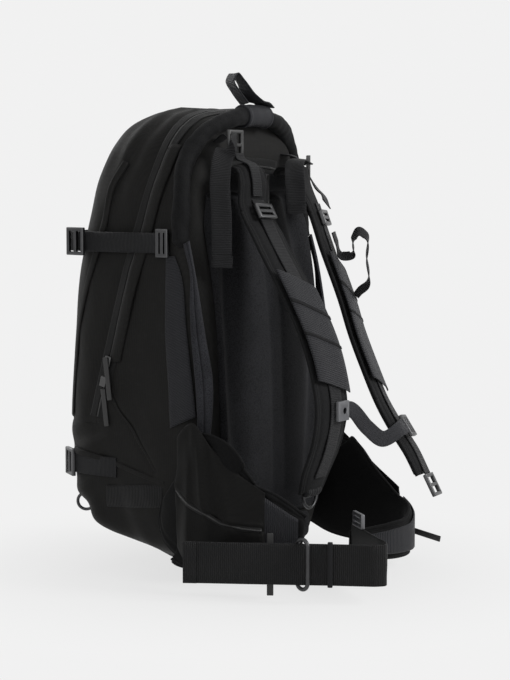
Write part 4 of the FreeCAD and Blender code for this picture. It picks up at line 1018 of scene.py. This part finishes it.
LIFTER_TAPES = {
    "left": ([(-66, 12.3, 511), (-66, 9, 504), (-66, 1, 500.6), (-66, -7.5, 497), (-66, -13.4, 482),
              (-66, -15.6, 458)], (1, 0, 0)),
    "right": ([(99, 7.9, 478), (97, -2, 466), (94, -14, 456), (84, -25, 446)],
              [(0.84, 0.54, 0), (0.9, 0.4, 0), (0.9, 0.4, 0), (0.927, 0.375, 0)]),
}
AWAY = (-0.545, 0.839, 0)
TAILS = {
    "left": ([(-72, 10.9, 524.6), (-86, 9.3, 523), (-105, 9.5, 506), (-115, 7, 480), (-118, 3, 430), (-121, 1, 372)],
             [(0, 0, 1), (0.1, -0.2, 1), (1, -0.8, 0), (1, -1.2, 0), (1, -1.4, 0), (1, -1.5, 0)], 71,
             [(-120, 0.2, 386), (-121.2, 0.2, 371.5)], (1, -1.5, 0), 3.6, "pack"),
    "right": ([(70, 1, 498.8), (45, -6, 503), (22, -15, 499), (10, -22, 486), (6, -26, 462), (6, -27, 436)],
              [(0.1, 1, 0), (0, 1, 0), (-0.2, 1, 0), (-0.45, 0.9, 0), AWAY, AWAY], 72,
              [(6, -27, 447), (6, -27, 435.6)], AWAY, 3.4, "shoulder_right"),
}
LOOSE_TAIL = [(2, 12), (6, 0), (13, -18), (26, -17), (28, 4), (35, 13), (43, 8), (45, -22), (45, -56), (36, -64),
              (31, -70)]


def lifters():
    """Webbing from the rim to each lifter lock, the tapes down to the pads, and the loose tails."""
    left = band("anchor", [(-68, 60, 524), (-68, 42, 526), (-68, 27.7, 534), (-68, 19.7, 527)], (1, 0, 0), 20, 1.8)
    right = band("anchor", [(90, 62, 508), (89, 42, 510), (90.6, 20.8, 503), (95, 14.1, 496)],
                 [(1, 0, 0), (1, 0, 0), (0.84, 0.54, 0), (0.84, 0.54, 0)], 20, 1.8)
    settle(joined("lifter_anchor_webbing", [left, right]), "pack", "strap webbing", "lifter_anchors")
    for name, (line, across) in LIFTER_TAPES.items():
        tape = band("lifter_tape_cloth_" + name, line, across, 20, 1.8, 70)
        settle(tape, None, "strap webbing", "lifter_tape_" + name)
        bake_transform(tape)
    for name, (line, across, seed, end, end_across, end_thick, body) in TAILS.items():
        tail = band("tail", line, across, 25, 1.8, 160, 0.7, seed)
        hem = band("hem", end, end_across, 25.4, end_thick, 24)
        settle(joined("lifter_tail_webbing_" + name, [tail, hem]), body, "strap webbing", "lifter_tail_" + name)
    line = [np.array([60.0, -47, 399]) - np.array(AWAY) * r + UP * u for r, u in LOOSE_TAIL]
    loose = band("loose_tail_cloth", line, (0.62, 0.4, 0.68), 16, 1.6, 170, 0.2, 73)
    settle(loose, "shoulder_right", "strap webbing")


STRAP_LINE = [(149.6, 79), (149.6, 120), (149.6, 165), (148.6, 200), (141.6, 218), (125.6, 226)]
SKI_LINE = [(151.5, 140), (150.5, 170), (146, 199.6), (136, 223.6), (120, 236.6), (98, 239.6)]
HAUL_LINE = [(-16, 36, 573.4), (-25, 43, 588), (-31, 48, 603), (-26, 46, 611), (-17, 42, 603), (-6, 37, 586),
             (6, 34, 577.5), (21, 34, 575.2), (33, 36, 570.5)]


def pack_straps():
    """Compression straps, ski straps, their anchors, and the loop over the rim's sleeve."""
    for name, side in SIDES:
        points = STRAP_LINE + [(96, front_y(96, STRAP_LEVEL) + 3.0), (66, front_y(66, STRAP_LEVEL) + 2.6)]
        line = [(side * x, y, STRAP_LEVEL) for x, y in points]
        strap = band("compression_webbing_" + name, line, (0, 0, -side), 25, 3.4, 170, 0.9, 81)
        settle(strap, "front_panel", "strap webbing", "compression_strap_" + name)
        line = [(side * x, y, 118) for x, y in SKI_LINE]
        ski = band("ski_webbing_" + name, line, (0, 0, -side), 25, 1.8, 110, 0.3, 82)
        ends = [(63, 413), (63, 389)], [(78, 413), (78, 389)]
        tab = side_strip("anchor_tab_" + name, *ends, 0.8, 24, 14, side, lift=0.6)
        settle(ski, "pack", "strap webbing", "ski_straps")
        settle(tab, "pack", "webbing", "strap_anchors")
    lean = [(0.5, 0.86, 0)] * 5 + [(0.2, 0.95, 0)] + [(0, 1, 0)] * 3
    loop = band("haul_loop_webbing", HAUL_LINE, lean, 25, 1.8, 140, 0.3, 83)
    settle(loop, "haul_loop", "webbing", "haul_loop")


def drawn_box(node):
    """A node's lowest and highest corners in drawn millimetres."""
    return np.array(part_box(node)) * 1000 + [0, 56, -22]


def sternum():
    """The webbing that sags 24 mm from the left strap's plate to the right strap's lock."""
    plate, lock = (np.mean(drawn_box(node), axis=0) for node in ("sternum_clip", "sternum_buckle"))
    a = plate + [12.4, 0, 0]
    turn = math.radians(PADS["right"][10][3])
    across = np.array([math.cos(turn), math.sin(turn), 0])
    along = unit(np.array(PADS["right"][11][:3], float) - np.array(PADS["right"][9][:3], float))
    across = unit(across - along * np.dot(across, along))
    end = lock - across * 13.4
    ahead = end - across * 20
    sag = np.array([0, -2, -24])
    line = [a, a + [6, 0, 0], a + [6, 0, 0] + (ahead - a) * 0.3 + sag * 0.7, a + (ahead - a) * 0.6 + sag,
            ahead + sag * 0.1, end - across * 4, end]
    facing = [(0, 0, 1)] * 4 + [tuple(along * -0.5 + UP * 0.5), tuple(-along), tuple(-along)]
    settle(band("sternum_strap_cloth", line, facing, 20, 1.8, 120, 0.5, 91), "sternum", "webbing", "sternum_webbing")


# Each wing's stations from its root to its tip: x as a share of WING_ROOT, y, lower and upper edge.
WINGS = {
    "left": [(-1.0, 50, 80, 140), (-1.02, 34, 26, 168), (-1.03, 10, 0, 186), (-1.03, -18, -6, 156),
             (-0.99, -50, -8, 128), (-0.93, -80, -4, 107), (-0.845, -105, 4, 88), (-0.79, -118, 10, 78)],
    "right": [(1.0, 50, 80, 172), (1.02, 34, 26, 166), (1.03, 0, -2, 140), (1.01, -50, -8, 100),
              (0.94, -92, -8, 74), (0.825, -122, -6, 58), (0.635, -136, -4, 45), (0.38, -134, -2, 42),
              (0.19, -124, 2, 40), (0.0, -110, 6, 38)],
}
WING_ROOT = 157.5
SWELL = {"left": (0.35, 1, 1, 0.7, 0.28), "right": (0.35, 1, 1, 0.28)}


def wing_rows(name, count=400):
    """A wing's x, y, lower and upper edge, smoothly along its stations by their number."""
    rows = np.array(WINGS[name], float) * [WING_ROOT, 1, 1, 1]
    dense = smooth(rows, count, np.arange(len(rows), dtype=float))
    return np.linspace(0, len(rows) - 1, count), dense


def wing_place(name, side, k, z, lift):
    """Places lift millimetres outside a wing's middle, at station numbers k and heights z."""
    knots, dense = wing_rows(name)
    slope = np.gradient(dense, axis=0)
    n = unit(np.stack([-slope[:, 1], slope[:, 0]], -1))
    n = n * np.sign(n[:1, :1]) * side
    k = np.asarray(k, float)
    x, y = np.interp(k, knots, dense[:, 0]), np.interp(k, knots, dense[:, 1])
    nx, ny = np.interp(k, knots, n[:, 0]), np.interp(k, knots, n[:, 1])
    return np.stack([x + nx * lift, y + ny * lift, np.asarray(z, float) + 0 * x], -1)


def wing_relief(u, v):
    """Quilted folds in the wing: channels along it, a few puckers, and a sunken line inside its edge."""
    channel = 1.5 * hump(0.45, 0.05, np.abs(u)) * step(0.2, 0.35, v)
    return 0.6 * ripple(101, u * 1.3, v * 6, waves=6) - channel - 0.9 * hump(0.86, 0.04, np.abs(u))


def pocket_level(name, k):
    """How far a pocket's face stands off its wing at station numbers k."""
    return 14 * np.interp(k, np.arange(1, 1 + len(SWELL[name])), SWELL[name])


def belt_wings():
    """Padded wings with rolled edges, and their zipped pockets: a face that swells as (1 - v^4)^0.5 over its
    height, with slanting creases and a sunken line at the zip."""
    for name, side in SIDES:
        rows = np.array(WINGS[name], float) * [WING_ROOT, 1, 1, 1]
        rows[:, 3] -= 10 * step(5.4, 3.6, np.arange(len(rows), dtype=float))
        places = np.stack([rows[:, 0], rows[:, 1], (rows[:, 2] + rows[:, 3]) / 2], -1)
        width = rows[:, 3:4] - rows[:, 2:3]
        wing = swept("wing", places, (0, 0, -side), width - 3, 13, 170, 84, 0.34, 0.35, 0.006, wing_relief)
        rolls = edge_rolls(places, (0, 0, -side), width, 0.97, 0.0024)
        stuffed(joined("wing_cushion_" + name, [wing, *rolls]), 0.75, "belt", "wing cloth", "belt_wing_" + name)
        count = len(SWELL[name])
        knots, dense = wing_rows(name)
        k = np.linspace(1, count, 60)
        low, high = np.interp(k, knots, dense[:, 2]) + 5, np.interp(k, knots, dense[:, 3]) - 1
        v = np.linspace(-1, 1, 60)[None]
        z = (low + high)[:, None] / 2 + v * (high - low)[:, None] / 2
        face = pocket_level(name, k)[:, None] * np.clip(1 - np.abs(v) ** 4, 0, 1) ** 0.5
        face = face * (1 - 0.6 * step(0.1, 1, v))
        crease = (k[:, None] - 2.9) + 0.55 * v
        face = face + (2.6 * hump(0, 0.16, crease) - 2.2 * hump(0.35, 0.14, crease) + 1.8 * hump(0.85, 0.2, crease)
                       - 1.6 * hump(-0.55, 0.2, crease)) * step(-0.3, 0.2, v) * step(1, 0.8, v)
        face = face * np.sqrt(np.clip(np.minimum(k - 1, count - k) / 0.12, 0.02, 1))[:, None]
        gap = z - np.interp(k, *ZIP_RUN[name])[:, None]
        face = face + 1.1 * ripple(111, k[:, None] / 1.3, v, waves=6) * (np.abs(v) < 0.98) - 2.2 * hump(0, 2.8, gap)
        face = face + 1.0 * hump(6, 3.5, gap)
        grid = wing_place(name, side, k[:, None] + 0 * v, z, 0)
        out = wing_place(name, side, k[:, None] + 0 * v, z, 1) - grid
        outer = drawn(grid + out * (7.4 + np.maximum(face, 0.6))[..., None])
        pocket = envelope("pocket_cloth_" + name, outer, drawn(grid + out * 7.0))
        stuffed(pocket, 0.5, "belt", "pocket cloth", "belt_pocket_" + name)
        ks = np.linspace(ZIP_RUN[name][0][0], min(ZIP_RUN[name][0][-1], count - 0.1), 40)
        zs, lift = np.interp(ks, *ZIP_RUN[name]), 7.4 + pocket_level(name, ks) - 0.6
        tape = np.stack([wing_place(name, side, ks, zs + d * side, lift) for d in (3.4, 0, -3.4)], 1)
        settle(thick(patch("pocket_zip_" + name, drawn(tape)), 0.001), "belt", "zip tape")
        coil = tube("pocket_coil_" + name, drawn(wing_place(name, side, ks, zs, lift + 0.5)), 0.0012, 8)
        settle(coil, "belt", "zip coil")


ZIP_RUN = {"left": ((1.17, 2.1, 2.88, 3.47, 4.24, 4.91), (102, 88, 79, 68, 63, 61)),
           "right": ((1.1, 2.0, 3.0, 4.0), (112, 92, 74, 58))}


def wing_panel(name, side, ks, trim, top=999, fade=False):
    """A ribbed panel on a wing's face at station numbers ks, trim inside its edges and turned down at them."""
    knots, dense = wing_rows(name)
    low, high = np.interp(ks, knots, dense[:, 2]) + trim, np.interp(ks, knots, dense[:, 3]) - trim
    v, k = np.linspace(0, 1, 20)[None], ks[:, None]
    z = low[:, None] * (1 - v) + np.minimum(high, top)[:, None] * v
    lift = (8.2 if fade else 8.0) - 1.4 * (np.abs(2 * v - 1) > 0.9) - 1.2 * fade * step(0.2, 0, k - ks[0])
    grid = drawn(wing_place(name, side, k + 0 * v, z, lift))
    settle(thick(patch("wing_panel_" + name, grid[:, ::int(side)]), 0.0012), "belt", "ribbed panel")


def belt_trim():
    """Ribbed panels on the wings, the tab to the link, the webbing, its keeper and its folded end."""
    wing_panel("left", -1, np.linspace(3.9, 6.6, 46), 7, 104, True)
    wing_panel("right", 1, np.linspace(4.3, 8.8, 60), 6)
    a, b = np.array([-218.0, -8]), np.array([-110.0, -216])
    path = [*(a + (b - a) * s for s in (0, 0.25, 0.5, 0.75, 0.9)), (-110, -215), (-103, -220), (-94, -216),
            (-70, -190), (-36, -153), (-2.9, -116.2)]
    belt = band("belt_strap_cloth", [(x, y, 25) for x, y in path], (0, 0, 1), 50, 2.2, 300, 0.3, 121)
    hem = band("hem", [(*(a + (b - a) * s), 25) for s in (0.0, 0.035, 0.07)], (0, 0, 1), 50.4, 4.4, 30)
    settle(joined("belt_strap", [belt, hem]), "belt", "belt webbing", "belt_webbing")
    tip = np.array([-0.79 * WING_ROOT, -118])
    rail = np.array([-150.3, -125.9])
    tab = band("link_tab", [(*(tip + (rail - tip) * s), 26) for s in (0, 0.5, 0.86)], (0, 0, 1), 28, 3.6, 30)
    settle(tab, "belt", "strap webbing")
    spot, d = a + (b - a) * 0.75, unit(b - a)
    n = np.array([-d[1], d[0]])
    t = turns(72)[0]
    c, s = np.cos(t), np.sin(t)
    rings = []
    for along, grow in ((-3, 0.0), (-2.4, 0.9), (2.4, 0.9), (3, 0.0), (2.4, -0.7), (-2.4, -0.7)):
        u = np.sign(c) * np.abs(c) ** 0.12 * (26.4 + grow)
        h = np.sign(s) * np.abs(s) ** 0.5 * (2.7 + grow)
        xy = spot[None] + d[None] * along + n[None] * h[:, None]
        rings.append(np.stack([xy[:, 0], xy[:, 1], 25 + u], -1))
    keeper = loft_open("belt_keeper_band", drawn(np.array(rings + rings[:1])))
    settle(sealed(keeper), "belt_keeper", "strap webbing", "belt_keeper")


def inner_parts():
    """The hydration and tool sleeves, sheets that hang a few millimetres off the wall behind them with slack
    rippled in, and the cloth under the pack: a flat sheet, z = top - 0.3 - 1.2 (1 - (a^8 + b^8) / 2)."""
    for name, node, body, wall, face, off in (
            ("hydration_cloth", "hydration_sleeve", "pack", "shell_cloth", back_y, 9.5),
            ("tool_cloth", "tool_sleeve", "front_panel", "front_cloth", front_y, -5.5)):
        (x0, _, z0), (x1, _, z1) = drawn_box(node)
        x, z = np.meshgrid(np.linspace(x0, x1, 60), np.linspace(z0, z1, 80))
        y = face(x, z) + off + 0.5 * ripple(131, x / 120, z / 150)
        grid = drawn(np.stack([x, y, z], -1))
        sheet = settle(thick(patch(name, grid), 0.002), body, "lining", node)
    (x0, y0, _), (x1, y1, z1) = np.array(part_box("base_panel"))
    x, y = np.meshgrid(np.linspace(x0, x1, 70), np.linspace(y0, y1, 60))
    a, b = (x - (x0 + x1) / 2) / (x1 - x0) * 2, (y - (y0 + y1) / 2) / (y1 - y0) * 2
    z = z1 - 0.0003 - 0.0012 * (1 - (a**8 + b**8) / 2)
    base = patch("base_cloth", np.stack([x, y, z], -1)[:, ::-1])
    settle(thick(base, 0.0006), "pack", "base cloth", "base_panel")


PULLERS = ("zip_puller_upper", "zip_puller_lower", "pocket_puller_left", "pocket_puller_right", "back_puller_left",
           "back_puller_right")
LOCKS = {"ski_buckles": "pack", "lifter_buckles": "pack", "compression_buckles": "front_panel",
         "compression_hooks": "front_panel", "strap_slide_left": "shoulder_left",
         "strap_slide_right": "shoulder_right", "sternum_clip": "sternum", "sternum_buckle": "sternum",
         "strap_buckle": "strap_buckle", "belt_hook": "belt"}
LOCK_FINISH = {"lifter_buckles": "slider metal", "sternum_clip": "worn plate", "belt_hook": "worn plate"}


def metalwork():
    """Locks, hooks, sliders and cord pullers with eased edges, and the frame's own round wires."""
    for node, body in LOCKS.items():
        eased(node, 0.0011, body, LOCK_FINISH.get(node, "gunmetal"))
    for node in ("zip_slider_upper", "zip_slider_lower"):
        eased(node, 0.0009, node, "slider metal")
    for node in PULLERS:
        eased(node, 0.0009, node, "puller cord")
    for node, finish in (("d_ring", "gunmetal"), ("belt_link", "gunmetal"), ("ski_loops", "gunmetal"),
                         ("frame_sheet", "moulded plastic"), ("frame_stays", "stay aluminium")):
        obj = NODES[node]
        obj.data.materials.clear()
        obj.data.materials.append(FINISHES[finish])


# --- the stage ----------------------------------------------------------------------------------

def lone(tree, kind, values=(), links=()):
    """A node with its sockets' values, then its links."""
    node = tree.nodes.new("ShaderNode" + kind)
    for name, value in values:
        node.inputs[name].default_value = value
    for name, socket in links:
        tree.links.new(socket, node.inputs[name])
    return node


def in_view(tree):
    """One for rays from the camera, off gloss or through glass, and nothing for light on the pack."""
    rays = lone(tree, "LightPath")
    total = rays.outputs["Is Camera Ray"]
    for other in ("Is Glossy Ray", "Is Transmission Ray"):
        add = lone(tree, "Math", links=((0, total), (1, rays.outputs[other])))
        add.operation, add.use_clamp = "ADD", True
        total = add.outputs[0]
    return total


def studio_world(look):
    """A plain soft light from all round, and the pale backdrop that the camera sees."""
    world = bpy.data.worlds.new("studio")
    bpy.context.scene.world = world
    world.use_nodes = True
    tree = world.node_tree
    tree.nodes.clear()
    seen = in_view(tree)
    dim = lone(tree, "Background", (("Color", (1, 1, 1, 1)), ("Strength", look.ambient)))
    bright = lone(tree, "Background", (("Color", (look.backdrop,) * 3 + (1,)),))
    mix = lone(tree, "MixShader", links=((0, seen), (1, dim.outputs[0]), (2, bright.outputs[0])))
    lone(tree, "OutputWorld", links=((0, mix.outputs[0]),))


def studio_floor(look):
    """A flat round floor, its colour and its shadow kept by the pack, that melts into the backdrop."""
    paint = Paint("studio floor", Roughness=0.95, Specular_IOR_Level=0.0)
    where, (x, y, _) = paint.place()
    level = look.floor
    paint.finish(paint.blend(paint.cloud(where, 60.0, 4.0), (level * 0.985,) * 3, (level,) * 3))
    far = (x * x + y * y).sum("SQRT").over(0.06, 0.5)
    share = (far * 0.2 + 0.8) * Wire(paint, in_view(paint.tree))
    fade = lone(paint.tree, "Emission", (("Color", (look.backdrop,) * 3 + (1,)),))
    mix = lone(paint.tree, "MixShader",
               links=((0, share.socket), (1, paint.shader.outputs[0]), (2, fade.outputs[0])))
    end = next(n for n in paint.tree.nodes if n.type == "OUTPUT_MATERIAL")
    paint.tree.links.new(mix.outputs[0], end.inputs["Surface"])
    a, r = np.meshgrid(turns(96)[0], np.array([0.02, 0.3, 0.8, 1.4, 2.2]))
    rings = np.stack([r * np.cos(a), r * np.sin(a), 0 * r - 0.0004], -1)
    disc = loft("studio_floor", np.concatenate([rings[-1:] - [0, 0, 0.004], rings[::-1]]))
    disc.data.materials.append(paint.material)


AIM = np.array([0, -0.025, 0.295])
CAMERA_TURN, CAMERA_RISE, CAMERA_AWAY = -57, 5, 2.6


def stage(look):
    """A pale floor that melts into the backdrop, soft lamps, and the camera."""
    scene = bpy.context.scene
    scene.view_settings.view_transform = "Standard"
    studio_world(look)
    studio_floor(look)
    for name, place, size, power in (
            ("key", (0.8, -2.4, 1.7), 1.1, look.key), ("fill", (-2.4, -0.5, 1.2), 1.8, look.fill),
            ("top", (-0.1, 0.3, 2.4), 1.6, look.top), ("edge", (0.5, 2.3, 1.4), 1.6, look.rim)):
        lamp = bpy.data.lights.new(name, "AREA")
        lamp.shape, lamp.size, lamp.energy = "DISK", size, power
        pointed(name, lamp, place, Vector(AIM) - Vector(place))
    lens = bpy.data.cameras.new("camera")
    lens.lens, lens.sensor_width, lens.sensor_height, lens.sensor_fit = 107.4, 36, 36, "VERTICAL"
    turn, rise = math.radians(CAMERA_TURN), math.radians(CAMERA_RISE)
    back = np.array([math.sin(turn) * math.cos(rise), -math.cos(turn) * math.cos(rise), math.sin(rise)])
    scene.camera = pointed("camera", lens, AIM + back * CAMERA_AWAY, Vector(-back))


def pointed(name, data, place, towards):
    """A lamp or camera at a place, turned to look along a direction."""
    obj = linked(name, data)
    obj.location = place
    obj.rotation_euler = towards.to_track_quat("-Z", "Y").to_euler()
    return obj


# --- the add-on ----------------------------------------------------------------------------------

def level(name, description, default, low=5, high=250):
    """A setting for a screen level."""
    return FloatProperty(name=name, description=description, default=default, min=low, max=high)


def share(name, description, default):
    """A setting between 0 and 1."""
    return FloatProperty(name=name, description=description, default=default, min=0, max=1, subtype="FACTOR")


def power(name, description, default):
    """A lamp's strength."""
    return FloatProperty(name=name, description=description, default=default, min=0, unit="POWER")


class BackpackLook(PropertyGroup):
    """Levels that a user may change: cloth, metal and light."""

    cloth_level: level("Cloth", "Screen level of the black cloth", 35)
    trim_level: level("Webbing", "Screen level of the webbing", 44)
    metal_level: level("Locks", "Screen level of the dark locks", 70)
    plate_level: level("Plates", "Screen level of the bare plates", 98)
    floor: share("Floor", "Whiteness of the floor", 0.86)
    backdrop: share("Backdrop", "Whiteness behind the pack", 0.88)
    ambient: share("Room light", "Light from all round", 0.12)
    key: power("Key lamp", "Main lamp", 46)
    fill: power("Fill lamp", "Lamp on the side", 9)
    top: power("Top lamp", "Lamp overhead", 6)
    rim: power("Edge lamp", "Lamp behind", 16)


class BACKPACK_OT_finishes(Operator):
    """Mix the cloths, webbing, foam, plastic and metal"""

    bl_idname = "backpack.finishes"
    bl_label = "Finishes"

    def execute(self, context):
        mix_finishes(context.scene.backpack_look)
        return {"FINISHED"}


class BACKPACK_OT_shell(Operator):
    """Sew the shell and the front panel from one skin, with their folds"""

    bl_idname = "backpack.shell"
    bl_label = "Shell and front panel"

    def execute(self, context):
        shell_cloth()
        return {"FINISHED"}


class BACKPACK_OT_sides(Operator):
    """Lay the ribbed strips, piped edges, bands and flaps on the sides"""

    bl_idname = "backpack.sides"
    bl_label = "Side strips"

    def execute(self, context):
        side_cloth()
        return {"FINISHED"}


class BACKPACK_OT_zips(Operator):
    """Run the main zip's tapes and coil over the crown"""

    bl_idname = "backpack.zips"
    bl_label = "Main zip"

    def execute(self, context):
        zips()
        return {"FINISHED"}


class BACKPACK_OT_back(Operator):
    """Mould the back's foam, the yoke and the lumbar pad"""

    bl_idname = "backpack.back"
    bl_label = "Back panel and pads"

    def execute(self, context):
        back_foam()
        back_pads()
        return {"FINISHED"}


class BACKPACK_OT_rim(Operator):
    """Roll the padded rim and its sleeve"""

    bl_idname = "backpack.rim"
    bl_label = "Rim"

    def execute(self, context):
        rim()
        return {"FINISHED"}


class BACKPACK_OT_shoulders(Operator):
    """Pad the shoulder straps and lay their webbing"""

    bl_idname = "backpack.shoulders"
    bl_label = "Shoulder straps"

    def execute(self, context):
        shoulder_pads()
        return {"FINISHED"}


class BACKPACK_OT_lifters(Operator):
    """Thread the load lifters and their loose tails"""

    bl_idname = "backpack.lifters"
    bl_label = "Load lifters"

    def execute(self, context):
        lifters()
        return {"FINISHED"}


class BACKPACK_OT_straps(Operator):
    """Lay the compression and ski straps and the haul loop"""

    bl_idname = "backpack.straps"
    bl_label = "Pack straps"

    def execute(self, context):
        pack_straps()
        return {"FINISHED"}


class BACKPACK_OT_sternum(Operator):
    """Hang the sternum strap between the pads"""

    bl_idname = "backpack.sternum"
    bl_label = "Sternum strap"

    def execute(self, context):
        sternum()
        return {"FINISHED"}


class BACKPACK_OT_belt(Operator):
    """Pad the belt's wings, their pockets, panels and webbing"""

    bl_idname = "backpack.belt"
    bl_label = "Hip belt"

    def execute(self, context):
        belt_wings()
        belt_trim()
        return {"FINISHED"}


class BACKPACK_OT_inside(Operator):
    """Hang the sleeves inside and close the base"""

    bl_idname = "backpack.inside"
    bl_label = "Sleeves and base"

    def execute(self, context):
        inner_parts()
        return {"FINISHED"}


class BACKPACK_OT_metal(Operator):
    """Ease and finish the locks, hooks, rings, sliders and pullers"""

    bl_idname = "backpack.metal"
    bl_label = "Metalwork and pullers"

    def execute(self, context):
        metalwork()
        return {"FINISHED"}


class BACKPACK_OT_stage(Operator):
    """Set the floor, the lamps and the camera"""

    bl_idname = "backpack.stage"
    bl_label = "Stage"

    def execute(self, context):
        stage(context.scene.backpack_look)
        return {"FINISHED"}


STEPS = (BACKPACK_OT_finishes, BACKPACK_OT_stage, BACKPACK_OT_shell, BACKPACK_OT_sides, BACKPACK_OT_zips,
         BACKPACK_OT_back, BACKPACK_OT_rim, BACKPACK_OT_shoulders, BACKPACK_OT_lifters, BACKPACK_OT_straps,
         BACKPACK_OT_sternum, BACKPACK_OT_belt, BACKPACK_OT_inside, BACKPACK_OT_metal)


class BACKPACK_PT_panel(Panel):
    """The pack's levels and the steps that make it"""

    bl_label = "Backpack"
    bl_idname = "BACKPACK_PT_panel"
    bl_space_type = "VIEW_3D"
    bl_region_type = "UI"
    bl_category = "Backpack"

    def draw(self, context):
        look = context.scene.backpack_look
        for name in BackpackLook.__annotations__:
            self.layout.prop(look, name)
        for step_class in STEPS:
            self.layout.operator(step_class.bl_idname)


def register():
    for one in (BackpackLook, *STEPS, BACKPACK_PT_panel):
        bpy.utils.register_class(one)
    bpy.types.Scene.backpack_look = PointerProperty(type=BackpackLook)


def unregister():
    del bpy.types.Scene.backpack_look
    for one in (BACKPACK_PT_panel, *STEPS[::-1], BackpackLook):
        bpy.utils.unregister_class(one)


def main():
    """Registers the add-on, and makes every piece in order."""
    register()
    for one in STEPS:
        group, call = one.bl_idname.split(".")
        getattr(getattr(bpy.ops, group), call)()


if __name__ == "__main__":
    main()
